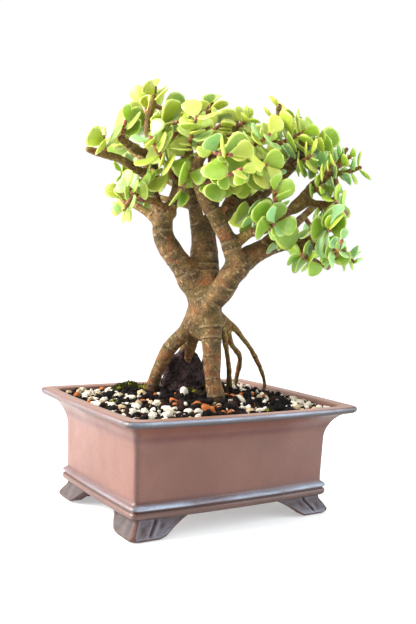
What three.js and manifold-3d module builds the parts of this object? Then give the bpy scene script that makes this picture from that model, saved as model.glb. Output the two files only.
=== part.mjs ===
// A dwarf jade bonsai in a glazed rectangular pot: exposed roots over a lava rock, and a round
// crown of fleshy leaves.
// Millimetres, +Z up. X runs along the pot's long side, Y across it, and the feet stand on z = 0.

import * as THREE from 'three';
import { mergeVertices } from 'three/addons/utils/BufferGeometryUtils.js';
import Module from 'manifold-3d';

const wasm = await Module();
wasm.setup();

// Pot sizes
const RIM = { halfX: 82.5, halfY: 68, top: 71.4, lip: 4, face: 9.5, corner: 6.8 };
const BODY = { halfX: 68.1, halfY: 50.2, corner: 4, bottom: 12, footTop: 20.6 };
const FLARE = { start: 48, end: 68, outX: 11.9, outY: 16, lean: 1 };
const BAND = { out: 2.5, groove: 16.9, bead: 18.4 };
const BOW = { longSide: 3, shortSide: 1.5 };
const WALL = 6.1;
const FLOOR = 19;
const FOOT = { armX: 31, armY: 26.5, depth: 9, height: 12, splay: 3.6 };
const DRAIN = { radius: 7, apart: 34 };
const SCREEN = { side: 22, thick: 1, bars: 3, bar: 2 };

// Soil, grains and rock
const GAP = 0.3;
const FINEST = 0.3;
const SOIL = { edge: 67.6, heap: 70.8 };
const GRAINS = { seed: 41, acrossX: 9, acrossY: 6, small: 2.6, large: 4.8 };
const ROCK = { at: [-9, 26, 82], size: [14.5, 12, 18.5], phase: 7, rough: 0.16 };

// Tree
const TREE_TURN = THREE.MathUtils.degToRad(-32.67);
const CROWN_HEART = new THREE.Vector3(8, 2, 204);
const LEAF = { thick: 1.8, width: 0.86, cup: 0.06, slab: 1.6, margin: 0.5, flatten: 0.6 };
const LEAF_TRIES = 12;
const SEEDS = { leaf: 1000, spray: 20, pair: 2, nextTwist: 100, nextLeaf: 10000 };
const SEED_STEP = 2654435761;
const SEED_RANGE = 4294967296;

const PLANT_SHIFT = { x: -13.9, y: -3.2 };

// Colours
const LOOKS = {
  pot: { color: 0x8a5f5a, roughness: 0.42 },
  screen: { color: 0x2b2d2c, roughness: 0.6 },
  soil: { color: 0x3a332e, roughness: 0.95 },
  rock: { color: 0x2a2024, roughness: 0.95 },
  bark: { color: 0xa58568, roughness: 0.8 },
  leaf: { color: 0x8fb53a, roughness: 0.45 },
};

// Roots, trunk and branches. Each row is across, depth, height and radius, in the tree's own
// frame, which is turned about Z from the pot's: across runs along the crown's width.
const LIMBS = [
  // Roots, ending below the soil
  [
    [-1, 0, 125, 7], [-9, 4, 113, 5.5], [-18, 8, 103, 5],
    [-27, 16, 84, 4.7], [-31, 20, 70, 4.6], [-34, 24, 52, 3.2],
  ],
  [
    [6, -4, 127, 8], [8, -8, 113, 6.6], [9, -10, 103, 6],
    [10, -10, 87, 5.5], [13, -11, 71, 5.8], [16, -12, 52, 3.8],
  ],
  [
    [12, 4, 122, 3.2], [15, 7, 116, 2.5], [18, 15, 105, 2.1],
    [21, 30, 90, 1.9], [23, 46, 71, 2.2], [24, 50, 54, 1.5],
  ],
  [
    [12, 6, 124, 3.4], [17, 10, 118, 2.4], [22, 22, 105, 2],
    [29, 40, 94, 1.9], [28, 58, 77, 2], [24, 56, 56, 1.5],
  ],
  [
    [12, 8, 124, 3.6], [20, 13, 119, 2.4], [29, 22, 110, 2],
    [39, 35, 96, 1.9], [48, 49, 73, 1.8], [40, 42, 58, 1.4],
  ],
  [[-1, 6, 124, 5], [-8, 20, 105, 2.9], [-18, 40, 84, 2.5], [-23, 44, 68, 2.4], [-16, 34, 56, 1.5]],
  [[4, 6, 124, 6], [8, 20, 104, 4.2], [5, 38, 86, 3.6], [2, 46, 69, 3.8], [1, 42, 56, 2.4]],
  [[2, 2, 124, 6], [-3, 8, 110, 3.8], [-6, 16, 98, 3.2], [-8, 22, 88, 2.4]],
  // Trunk
  [
    [3, 1, 116, 8.5], [3, 0, 125, 11.3], [3, 0, 136, 11.6],
    [2, 3, 151, 9.8], [1, 6, 166, 8.9], [0, 6, 178, 7.5],
  ],
  // Left side: main branch, its fork and the arms that it carries
  [
    [1, 0, 138, 9], [-5, -1, 146, 9.3], [-12, -3, 155, 8.4],
    [-20, -5, 165, 7.2], [-26, -6, 175, 6.4], [-27, -5, 184, 5.4],
  ],
  [
    [-26, -6, 178, 5.4], [-24, -6, 188, 4.5], [-19, -8, 199, 4.2],
    [-17, -8, 209, 3.9], [-14, -5, 223, 3.2], [-12, -3, 234, 2.4],
  ],
  [
    [-21, -8, 189, 3.4], [-30, -14, 195, 2.7], [-37, -17, 196, 2.4],
    [-44, -19, 197, 2.2], [-50, -20, 199, 1.8],
  ],
  [
    [-27, -3, 180, 4], [-34, 3, 187, 3], [-41, 7, 192, 2.6],
    [-47, 10, 195, 2.1], [-53, 16, 196, 1.6],
  ],
  [
    [-27, -3, 181, 5], [-30, 4, 190, 4.4], [-35, 12, 205, 4.5], [-37, 14, 221, 5.5],
    [-38, 12, 235, 4.3], [-39, 10, 252, 2.7], [-37, 9, 262, 2],
  ],
  [[-37, 13, 214, 3.6], [-47, 4, 218, 3.2], [-55, -4, 222, 2.9], [-74, -14, 226, 2.4]],
  [[-38, 12, 228, 3.4], [-46, 2, 230, 2.9], [-55, -5, 235, 2.6]],
  [[-37, 14, 222, 3.4], [-45, 26, 229, 2.8], [-55, 34, 236, 2.2]],
  // Middle: the trunk's fork
  [
    [0, 6, 172, 6.5], [-5, 8, 188, 4.8], [-7, 12, 200, 4.2],
    [-9, 20, 218, 3.4], [-13, 30, 238, 2.6],
  ],
  [[1, 6, 172, 6.5], [4, 14, 189, 4.4], [6, 24, 206, 4.1], [4, 24, 226, 3.2], [-1, 16, 240, 2.4]],
  [[6, 24, 206, 3.6], [14, 34, 220, 3], [20, 44, 232, 2.4]],
  [[-8, 14, 203, 3.6], [-16, 30, 210, 3], [-28, 42, 216, 2.4]],
  [[4, 24, 224, 3], [5, 30, 238, 2.6], [5, 36, 250, 2.1]],
  // Right side: main branch, the limb leaning back over the trunk, and the long low limb
  [
    [5, -5, 128, 6.5], [7, -9, 133, 7], [14, -11, 142, 7.2],
    [19, -12, 152, 7.2], [23, -12, 160, 7.2],
  ],
  [
    [23, -12, 157, 6.6], [17, -16, 171, 5.6], [10, -20, 183, 5.3], [2, -24, 195, 4.9],
    [-3, -26, 205, 4.6], [-5, -28, 218, 3.8], [1, -33, 229, 3.2],
  ],
  [
    [22, -10, 155, 7], [28, -4, 162, 7.5], [35, -2, 167, 7],
    [45, 2, 172, 5.9], [57, 4, 174, 4.6], [66, 2, 172, 3.3],
  ],
  [[62, 2, 173, 3], [79, -2, 172, 2], [91, -4, 170, 1.6]],
  [[58, 3, 171, 3], [70, -5, 164, 2], [80, -10, 159, 1.7]],
  [[64, 3, 172, 3], [73, 0, 181, 2.1], [80, -2, 187, 1.8]],
  [
    [10, -20, 184, 4.2], [16, -7, 195, 4.7], [18, -2, 206, 4.2],
    [18, 0, 222, 3.5], [17, 2, 236, 2.9], [18, 4, 249, 2.4],
  ],
  [
    [15, -6, 195, 4], [26, 0, 198, 3.7], [37, 6, 205, 3.6],
    [51, 12, 219, 4], [60, 14, 232, 3.8], [63, 14, 241, 2.8],
  ],
  [[40, 7, 208, 3], [40, 8, 224, 2.6], [42, 8, 238, 2.2]],
  [[38, 6, 206, 3], [45, 22, 216, 2.8], [54, 38, 228, 2.2]],
  [
    [20, -14, 171, 3.8], [29, -20, 178, 2.9], [38, -22, 180, 2.8],
    [46, -18, 186, 2.8], [52, -12, 192, 3.2], [60, -8, 198, 3.6],
  ],
  [[57, -9, 196, 3.3], [67, -4, 208, 3.5], [75, 0, 217, 3.1]],
  [[58, -9, 197, 3.3], [67, -6, 200, 2.8], [75, -8, 199, 2.3], [83, -10, 203, 1.9]],
  [[74, -8, 199, 2.2], [83, -6, 196, 1.8], [91, -6, 194, 1.5]],
  [[50, 3, 173, 4], [58, 18, 184, 3.4], [68, 32, 194, 2.8], [78, 40, 204, 2.2]],
  [[24, 0, 197, 3.4], [27, 18, 204, 2.8], [30, 38, 208, 2.2]],
  [[5, 17, 194, 3.4], [2, 34, 202, 2.8], [-3, 46, 208, 2.2]],
  [[-8, 10, 196, 3.2], [-22, 26, 200, 2.6], [-34, 42, 204, 2.2]],
];

// Leafy sprays: where the stem leaves its branch, where it ends, pairs of leaves, leaf length, and
// the seed of the leaves' turns.
const SPRAYS = [
  // Front, left to right
  { from: [-64, -10, 224], to: [-65, -16, 235], pairs: 6, leaf: 17, seed: 0 },
  { from: [-54, -5, 235], to: [-52, -11, 246], pairs: 5, leaf: 17, seed: 1 },
  { from: [-38, 9, 246], to: [-19, -4, 248], pairs: 5, leaf: 18, seed: 10 },
  { from: [-37, 9, 261], to: [-24, 20, 258], pairs: 4, leaf: 17, seed: 6 },
  { from: [-36, 12, 231], to: [-7, 3, 254], pairs: 5, leaf: 16, seed: 6 },
  { from: [-16, -7, 214], to: [-7, -25, 248], pairs: 5, leaf: 18, seed: 3 },
  { from: [-12, -3, 233], to: [9, -8, 247], pairs: 4, leaf: 17, seed: 3 },
  { from: [-1, 16, 239], to: [-1, 9, 264], pairs: 5, leaf: 17, seed: 6 },
  { from: [5, 32, 242], to: [26, 27, 254], pairs: 5, leaf: 17, seed: 0 },
  { from: [-17, -8, 208], to: [-35, -27, 234], pairs: 5, leaf: 18, seed: 0 },
  { from: [0, -32, 227], to: [15, -52, 221], pairs: 4, leaf: 18, seed: 10 },
  { from: [-19, -8, 200], to: [-10, -32, 213], pairs: 4, leaf: 18, seed: 0 },
  { from: [-38, -17, 196], to: [-47, -31, 202], pairs: 4, leaf: 13, seed: 3 },
  { from: [-50, -20, 199], to: [-33, -11, 216], pairs: 4, leaf: 16, seed: 3 },
  { from: [-45, -19, 197], to: [-50, -27, 188], pairs: 3, leaf: 12, seed: 7 },
  { from: [-53, 16, 196], to: [-60, 36, 204], pairs: 3, leaf: 13, seed: 8 },
  { from: [-36, 14, 213], to: [-14, 3, 216], pairs: 4, leaf: 12, seed: 7 },
  { from: [18, 3, 247], to: [26, 1, 253], pairs: 3, leaf: 12, seed: 9 },
  { from: [18, 1, 230], to: [38, -29, 238], pairs: 6, leaf: 16, seed: 2 },
  { from: [42, 8, 237], to: [64, -1, 247], pairs: 6, leaf: 18, seed: 8 },
  { from: [63, 14, 240], to: [80, 39, 243], pairs: 5, leaf: 17, seed: 10 },
  { from: [61, 14, 235], to: [87, 18, 219], pairs: 4, leaf: 17, seed: 9 },
  { from: [75, 0, 216], to: [93, 1, 232], pairs: 5, leaf: 11, seed: 3 },
  { from: [83, -10, 203], to: [83, -4, 221], pairs: 3, leaf: 12, seed: 0 },
  { from: [71, -2, 213], to: [80, -16, 225], pairs: 3, leaf: 12, seed: 8 },
  { from: [56, 13, 226], to: [66, -12, 229], pairs: 4, leaf: 17, seed: 9 },
  { from: [18, 0, 224], to: [37, -34, 219], pairs: 5, leaf: 18, seed: 11 },
  { from: [46, 10, 213], to: [34, -3, 235], pairs: 3, leaf: 16, seed: 0 },
  { from: [37, 6, 205], to: [47, -8, 225], pairs: 4, leaf: 15, seed: 11 },
  { from: [18, -2, 208], to: [9, -35, 216], pairs: 4, leaf: 17, seed: 7 },
  { from: [30, 3, 201], to: [32, -18, 185], pairs: 3, leaf: 17, seed: 10 },
  { from: [-3, -26, 207], to: [21, -55, 213], pairs: 3, leaf: 14, seed: 3 },
  { from: [37, -22, 180], to: [43, -37, 184], pairs: 3, leaf: 18, seed: 10 },
  { from: [47, -17, 187], to: [42, -35, 204], pairs: 4, leaf: 17, seed: 10 },
  { from: [44, 2, 171], to: [56, -16, 174], pairs: 3, leaf: 16, seed: 0 },
  { from: [80, -2, 187], to: [77, -30, 182], pairs: 5, leaf: 18, seed: 4 },
  { from: [91, -6, 194], to: [81, -17, 201], pairs: 4, leaf: 13, seed: 10 },
  { from: [91, -4, 170], to: [98, -6, 163], pairs: 4, leaf: 11, seed: 0 },
  { from: [73, -7, 163], to: [60, -33, 166], pairs: 3, leaf: 17, seed: 7 },
  { from: [80, -10, 159], to: [83, -42, 175], pairs: 4, leaf: 12, seed: 2 },
  { from: [66, -4, 207], to: [73, -18, 209], pairs: 3, leaf: 11, seed: 4 },
  // Back, left to right
  { from: [-55, 34, 236], to: [-59, 50, 247], pairs: 5, leaf: 17, seed: 0 },
  { from: [-40, 19, 225], to: [-57, 16, 216], pairs: 3, leaf: 12, seed: 8 },
  { from: [-38, 12, 240], to: [-44, 37, 266], pairs: 5, leaf: 18, seed: 3 },
  { from: [-28, 42, 216], to: [-53, 64, 209], pairs: 4, leaf: 12, seed: 2 },
  { from: [-34, 42, 204], to: [-52, 48, 205], pairs: 3, leaf: 12, seed: 5 },
  { from: [-13, 30, 238], to: [-16, 56, 263], pairs: 4, leaf: 18, seed: 0 },
  { from: [-3, 46, 208], to: [-1, 70, 220], pairs: 4, leaf: 17, seed: 7 },
  { from: [20, 44, 232], to: [28, 51, 254], pairs: 3, leaf: 17, seed: 0 },
  { from: [30, 38, 208], to: [27, 70, 201], pairs: 3, leaf: 17, seed: 10 },
  { from: [54, 38, 228], to: [69, 56, 254], pairs: 5, leaf: 17, seed: 4 },
  { from: [78, 40, 204], to: [89, 47, 195], pairs: 3, leaf: 17, seed: 5 },
  { from: [68, 32, 194], to: [91, 43, 173], pairs: 5, leaf: 17, seed: 1 },
];

// One closed solid from rings that all have the same number of points, capped at both ends.
function loft(rings, firstCap, lastCap) {
  const count = rings[0].length;
  const points = rings.flat();
  const first = points.push(firstCap) - 1;
  const last = points.push(lastCap) - 1;
  const faces = [];
  for (let k = 0; k < count; k += 1) {
    const next = (k + 1) % count;
    faces.push(first, next, k);
    for (let r = 0; r + 1 < rings.length; r += 1) {
      const low = r * count;
      const high = low + count;
      faces.push(low + k, low + next, high + next, low + k, high + next, high + k);
    }
    const top = (rings.length - 1) * count;
    faces.push(last, top + k, top + next);
  }
  return solidFrom(points, faces);
}

// A solid of the joining library from points and triangles.
function solidFrom(points, faces) {
  const vertProperties = new Float32Array(points.flatMap((p) => [p.x, p.y, p.z]));
  return new wasm.Manifold(new wasm.Mesh({ numProp: 3, vertProperties, triVerts: new Uint32Array(faces) }));
}

// A solid of the joining library from a three.js geometry.
function solidOf(geometry) {
  const bare = geometry.clone();
  bare.deleteAttribute('normal');
  bare.deleteAttribute('uv');
  const merged = mergeVertices(bare, 1e-4);
  const mesh = new wasm.Mesh({
    numProp: 3,
    vertProperties: new Float32Array(merged.attributes.position.array),
    triVerts: new Uint32Array(merged.index.array),
  });
  return new wasm.Manifold(mesh);
}

function joined(solids) {
  return wasm.Manifold.union(solids);
}

// The biggest body of a solid, so that a loose crumb left by a cut is dropped.
function mainBody(solid) {
  const bodies = solid.decompose();
  return bodies.reduce((best, body) => (body.volume() > best.volume() ? body : best));
}

function meshOf(name, solid, look) {
  const { vertProperties, triVerts } = solid.getMesh();
  const geometry = new THREE.BufferGeometry();
  geometry.setAttribute('position', new THREE.BufferAttribute(Float32Array.from(vertProperties), 3));
  geometry.setIndex(new THREE.BufferAttribute(Uint32Array.from(triVerts), 1));
  geometry.computeVertexNormals();
  const mesh = new THREE.Mesh(geometry, new THREE.MeshStandardMaterial({ metalness: 0, ...look }));
  mesh.name = name;
  return mesh;
}

// Repeatable random numbers from 0 to 1.
function lottery(seed) {
  let state = (seed * SEED_STEP) % SEED_RANGE;
  const draw = () => {
    state = (state * 1664525 + 1013904223) % SEED_RANGE;
    return state / SEED_RANGE;
  };
  draw();
  return draw;
}

// A level of the pot: a rounded rectangle whose long and short sides bow outward.
function potRing({ z, halfX, halfY, corner, bow = 1 }) {
  const ring = [];
  const arcSteps = 2;
  const sideSteps = 3;
  const quarter = Math.PI / 2;
  const signs = [[1, 1], [-1, 1], [-1, -1], [1, -1]];
  signs.forEach(([signX, signY], side) => {
    const middle = new THREE.Vector3(signX * (halfX - corner), signY * (halfY - corner), z);
    const turn = side * quarter;
    for (let k = 0; k <= arcSteps; k += 1) {
      const angle = turn + (k / arcSteps) * quarter;
      ring.push(new THREE.Vector3(corner * Math.cos(angle), corner * Math.sin(angle), 0).add(middle));
    }
    const alongX = side % 2 === 0;
    const half = alongX ? halfX - corner : halfY - corner;
    const reach = alongX ? halfY : halfX;
    const depth = bow * (alongX ? BOW.longSide : BOW.shortSide);
    for (let k = 1; k < sideSteps; k += 1) {
      const s = 1 - (2 * k) / sideSteps;
      const out = reach + depth * (1 - s * s);
      ring.push(new THREE.Vector3(half * s, out, z).applyAxisAngle(new THREE.Vector3(0, 0, 1), turn));
    }
  });
  return ring;
}

// Half sizes of the pot's outside and inside at a level of its flare.
function flareRow(z, insetX, insetY, corner) {
  const t = THREE.MathUtils.clamp((z - FLARE.start) / (FLARE.end - FLARE.start), 0, 1);
  const swing = 1 - Math.sqrt(1 - 0.94 * t * t);
  const reach = swing / (1 - Math.sqrt(1 - 0.94));
  return {
    z,
    halfX: BODY.halfX + FLARE.lean + FLARE.outX * reach - insetX,
    halfY: BODY.halfY + FLARE.lean * 0.3 + FLARE.outY * reach - insetY,
    corner,
  };
}

// Half sizes inside the pot at one of its levels: straight walls, then the flare up to the rim.
function insideLevel(z) {
  const { halfX, halfY } = flareRow(z, WALL, WALL, BODY.corner);
  return {
    z,
    halfX: Math.min(halfX, RIM.halfX - RIM.face),
    halfY: Math.min(halfY, RIM.halfY - RIM.face),
    corner: BODY.corner,
  };
}

const insideLevels = [FLOOR, FLARE.start, 60, 66, RIM.top - 1.2].map(insideLevel);

// Half sizes inside the pot at any height, less a clearance.
function insideRow(z, clearance) {
  const above = Math.max(1, insideLevels.findIndex((level) => level.z >= z));
  const low = insideLevels[above - 1];
  const high = insideLevels[above];
  const share = (z - low.z) / (high.z - low.z);
  return {
    z,
    halfX: THREE.MathUtils.lerp(low.halfX, high.halfX, share) - clearance,
    halfY: THREE.MathUtils.lerp(low.halfY, high.halfY, share) - clearance,
    corner: BODY.corner,
  };
}

function bodyRow(z, out) {
  return { z, halfX: BODY.halfX + out, halfY: BODY.halfY + out, corner: BODY.corner, bow: 0.7 };
}

function lipRow(z, out) {
  return { z, halfX: RIM.halfX - out, halfY: RIM.halfY - out, corner: RIM.corner };
}

function potShell() {
  const { out } = BAND;
  const lipMiddle = RIM.top - RIM.lip / 2;
  const outside = [
    bodyRow(BODY.bottom, out - 3.2),
    bodyRow(BODY.bottom + 0.8, out - 0.6),
    bodyRow(BODY.bottom + 2.3, out),
    bodyRow(BAND.groove - 0.7, out - 0.5),
    bodyRow(BAND.groove, out - 1.6),
    bodyRow(BAND.groove + 0.6, out - 0.6),
    bodyRow(BAND.bead, out),
    bodyRow(BAND.bead + 1.2, out - 0.7),
    bodyRow(BODY.footTop, 0),
    flareRow(FLARE.start, 0, 0, BODY.corner),
    flareRow(55, 0, 0, BODY.corner),
    flareRow(61, 0, 0, 5),
    flareRow(65, 0, 0, 5.6),
    flareRow(66.9, 0, 0, 6),
    lipRow(RIM.top - RIM.lip, 1.2),
    lipRow(lipMiddle, 0),
    lipRow(RIM.top - 0.5, 0.5),
    lipRow(RIM.top, 1.7),
  ];
  const inside = [...insideLevels].reverse();
  const rings = [...outside, lipRow(RIM.top, RIM.face - 1.5), ...inside].map(potRing);
  return loft(rings, new THREE.Vector3(0, 0, BODY.bottom), new THREE.Vector3(0, 0, FLOOR));
}

// One L-shaped corner foot. Its arms are brackets that shorten toward the ground, the one on the
// pot's long side the longer of the two, and its outside splays and then rounds under. An L has
// only one corner that sees all the others, the inner one, so its caps fan from there.
function footSolid(signX, signY) {
  const levels = [
    { z: 0, cutX: 14.5, cutY: 12, out: FOOT.splay - 2, chamfer: 4.5 },
    { z: 0.8, cutX: 12, cutY: 9, out: FOOT.splay - 0.7, chamfer: 3.2 },
    { z: 2.8, cutX: 8, cutY: 4, out: FOOT.splay, chamfer: 1.6 },
    { z: 6, cutX: 4.5, cutY: 1.5, out: FOOT.splay - 1.8, chamfer: 1.6 },
    { z: 9.2, cutX: 0, cutY: 0, out: -0.4, chamfer: 1.6 },
    { z: FOOT.height + 0.6, cutX: -6, cutY: -4.5, out: -0.8, chamfer: 1.6 },
  ];
  const flip = signX * signY > 0;
  const rings = levels.map(({ z, cutX, cutY, out, chamfer }) => {
    const x = BODY.halfX + out;
    const y = BODY.halfY + out;
    const inner = FOOT.depth;
    const endX = x - FOOT.armX + cutX;
    const endY = y - FOOT.armY + cutY;
    const corners = [
      [x - inner, y - inner],
      [x - inner, endY],
      [x, endY],
      [x, y - chamfer],
      [x - chamfer, y],
      [endX, y],
      [endX, y - inner],
    ];
    const ring = corners.map(([cx, cy]) => new THREE.Vector3(signX * cx, signY * cy, z));
    return flip ? ring : ring.reverse();
  });
  const count = rings[0].length;
  const hub = flip ? 0 : count - 1;
  const top = (rings.length - 1) * count;
  const faces = [];
  for (let k = 0; k < count; k += 1) {
    const next = (k + 1) % count;
    for (let r = 0; r + 1 < rings.length; r += 1) {
      const low = r * count;
      const high = low + count;
      faces.push(low + k, low + next, high + next, low + k, high + next, high + k);
    }
    if (k !== hub && next !== hub) {
      faces.push(hub, next, k);
      faces.push(top + hub, top + k, top + next);
    }
  }
  return solidFrom(rings.flat(), faces);
}

function potSolid() {
  const signs = [[1, 1], [-1, 1], [-1, -1], [1, -1]];
  const feet = signs.map(([signX, signY]) => footSolid(signX, signY));
  const holes = [-DRAIN.apart, DRAIN.apart].map((x) => {
    const drill = new THREE.CylinderGeometry(DRAIN.radius, DRAIN.radius, 2 * FLOOR, 10);
    drill.rotateX(Math.PI / 2).translate(x, 0, FLOOR);
    return solidOf(drill);
  });
  return joined([potShell(), ...feet]).subtract(joined(holes));
}

// A square plastic screen over a drain hole: a plate with a grid of openings.
function screenSolid(x) {
  const { side, thick, bars, bar } = SCREEN;
  const plate = new THREE.BoxGeometry(side, side, thick);
  const cells = bars - 1;
  const cell = (side - bars * bar) / cells;
  const openings = [];
  for (let i = 0; i < cells; i += 1) {
    for (let j = 0; j < cells; j += 1) {
      const opening = new THREE.BoxGeometry(cell, cell, 2 * thick);
      const pitch = cell + bar;
      opening.translate((i - (cells - 1) / 2) * pitch, (j - (cells - 1) / 2) * pitch, 0);
      openings.push(solidOf(opening));
    }
  }
  const screen = solidOf(plate).subtract(joined(openings));
  return screen.translate([x, 0, FLOOR + GAP + thick / 2]);
}

// Tree frame to pot frame.
function turned([across, depth, height]) {
  return new THREE.Vector3(across, depth, height).applyAxisAngle(new THREE.Vector3(0, 0, 1), TREE_TURN);
}

// Even steps along a smooth curve through a limb's rows, each with its place and radius.
function limbSteps(rows, stepLength) {
  const places = rows.map(turned);
  const curve = new THREE.CatmullRomCurve3(places, false, 'centripetal');
  const perSpan = places.slice(1).map((place, k) => {
    const span = place.distanceTo(places[k]);
    return Math.max(1, Math.round(span / stepLength));
  });
  const steps = [];
  perSpan.forEach((parts, k) => {
    for (let j = 0; j < parts; j += 1) {
      const share = j / parts;
      const radius = THREE.MathUtils.lerp(rows[k][3], rows[k + 1][3], share);
      steps.push({ place: curve.getPoint((k + share) / perSpan.length), radius });
    }
  });
  steps.push({ place: places[places.length - 1], radius: rows[rows.length - 1][3] });
  return steps;
}

// A tapered round tube through steps of place and radius, with flat ends.
function tube(steps, sides) {
  const rings = [];
  let side = new THREE.Vector3(0.31, 0.95, 0.05).normalize();
  steps.forEach(({ place, radius }, k) => {
    const before = steps[Math.max(k - 1, 0)].place;
    const after = steps[Math.min(k + 1, steps.length - 1)].place;
    const along = after.clone().sub(before).normalize();
    side = side.clone().addScaledVector(along, -side.dot(along)).normalize();
    const other = along.clone().cross(side);
    const ring = [];
    for (let j = 0; j < sides; j += 1) {
      const angle = (j / sides) * 2 * Math.PI;
      const spoke = side.clone().multiplyScalar(Math.cos(angle)).addScaledVector(other, Math.sin(angle));
      ring.push(place.clone().addScaledVector(spoke, radius));
    }
    rings.push(ring);
  });
  return loft(rings, steps[0].place.clone(), steps[steps.length - 1].place.clone());
}

// Sides of a limb: the stout ones are rounder.
function limbSides(rows) {
  const widest = Math.max(...rows.map((row) => row[3]));
  if (widest > 8) {
    return 9;
  }
  return widest > 4.5 ? 6 : 5;
}

function limbTube(rows, extra) {
  const steps = limbSteps(rows, 24);
  const grown = steps.map(({ place, radius }) => ({ place, radius: radius + extra }));
  return tube(grown, limbSides(rows));
}

const limbPaths = LIMBS.map((rows) => limbSteps(rows, 7));

// The nearest place on the middle line of any limb.
function nearestOnLimbs(place) {
  let best = null;
  limbPaths.forEach((steps) => {
    for (let k = 0; k + 1 < steps.length; k += 1) {
      const line = new THREE.Line3(steps[k].place, steps[k + 1].place);
      const found = line.closestPointToPoint(place, true, new THREE.Vector3());
      const distance = found.distanceTo(place);
      if (best === null || distance < best.distance) {
        best = { place: found, distance };
      }
    }
  });
  return best.place;
}

// The stem of a spray: an arch from the branch to the tip, thinner toward the tip.
function stemSteps({ from, to }) {
  const start = nearestOnLimbs(turned(from));
  const end = turned(to);
  const span = start.distanceTo(end);
  const middle = start.clone().lerp(end, 0.5).add(new THREE.Vector3(0, 0, -0.08 * span));
  const curve = new THREE.QuadraticBezierCurve3(start, middle, end);
  const parts = 2;
  const steps = [];
  for (let k = 0; k <= parts; k += 1) {
    steps.push({ place: curve.getPoint(k / parts), radius: 1.8 - (0.6 * k) / parts });
  }
  return { steps, curve };
}

const stems = SPRAYS.map(stemSteps);

// All wood as straight pieces with a radius, for keeping the leaves clear of it.
const wood = [];
limbPaths.forEach((steps) => {
  for (let k = 0; k + 1 < steps.length; k += 1) {
    const radius = Math.max(steps[k].radius, steps[k + 1].radius);
    wood.push({ owner: -1, line: new THREE.Line3(steps[k].place, steps[k + 1].place), radius });
  }
});
stems.forEach(({ steps }, owner) => {
  for (let k = 0; k + 1 < steps.length; k += 1) {
    wood.push({ owner, line: new THREE.Line3(steps[k].place, steps[k + 1].place), radius: steps[k].radius });
  }
});

// Outline of a leaf as shares of its length and half width: narrow foot, broad round end.
const LEAF_OUTLINE = [[0, 0], [0.38, 0.72], [0.78, 0.94], [1, 0], [0.78, -0.94], [0.38, -0.72]];
const LEAF_PROBES = [...LEAF_OUTLINE.slice(1)];
[0.22, 0.4, 0.58, 0.76, 0.92].forEach((along) => {
  [-0.66, -0.33, 0, 0.33, 0.66].forEach((aside) => LEAF_PROBES.push([along, aside * Math.min(1, along * 2)]));
});

// A place on a leaf from its own coordinates.
function onLeaf(leaf, along, aside, above) {
  return leaf.foot.clone()
    .addScaledVector(leaf.along, along * leaf.length)
    .addScaledVector(leaf.aside, aside * leaf.length * LEAF.width * 0.5)
    .addScaledVector(leaf.face, above);
}

// Whether a place lies within the body of a leaf, grown by the gap that leaves keep.
function insideLeaf(leaf, place) {
  const from = place.clone().sub(leaf.foot);
  if (Math.abs(from.dot(leaf.face)) > LEAF.slab) {
    return false;
  }
  const reach = leaf.length * 0.5 + LEAF.margin;
  const breadth = leaf.length * LEAF.width * 0.5 + LEAF.margin;
  const x = (from.dot(leaf.along) - leaf.length * 0.55) / reach;
  const y = from.dot(leaf.aside) / breadth;
  return x * x + y * y < 1;
}

function leavesCross(a, b) {
  const reach = (a.length + b.length) * 0.62;
  if (a.middle.distanceTo(b.middle) > reach) {
    return false;
  }
  return a.probes.some((place) => insideLeaf(b, place)) || b.probes.some((place) => insideLeaf(a, place));
}

function leafHitsWood(leaf) {
  const found = new THREE.Vector3();
  return wood.some(({ owner, line, radius }) => {
    const own = owner === leaf.owner;
    line.closestPointToPoint(leaf.middle, true, found);
    if (found.distanceTo(leaf.middle) > leaf.length * 0.6 + radius + 1.5) {
      return false;
    }
    return leaf.probes.some((place, k) => {
      if (own && LEAF_PROBES[k][0] < 0.5) {
        return false;
      }
      line.closestPointToPoint(place, true, found);
      return found.distanceTo(place) < radius + 1.3;
    });
  });
}

// A leaf on a stem: which way it points follows the pair's turn, and its face looks to the light.
function makeLeaf(owner, foot, along, light, length) {
  const face = light.clone().addScaledVector(along, -light.dot(along)).normalize();
  const aside = face.clone().cross(along);
  const leaf = { owner, foot, along, face, aside, length };
  leaf.probes = LEAF_PROBES.map(([x, y]) => onLeaf(leaf, x, y, 0));
  leaf.middle = onLeaf(leaf, 0.55, 0, 0);
  return leaf;
}

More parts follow.
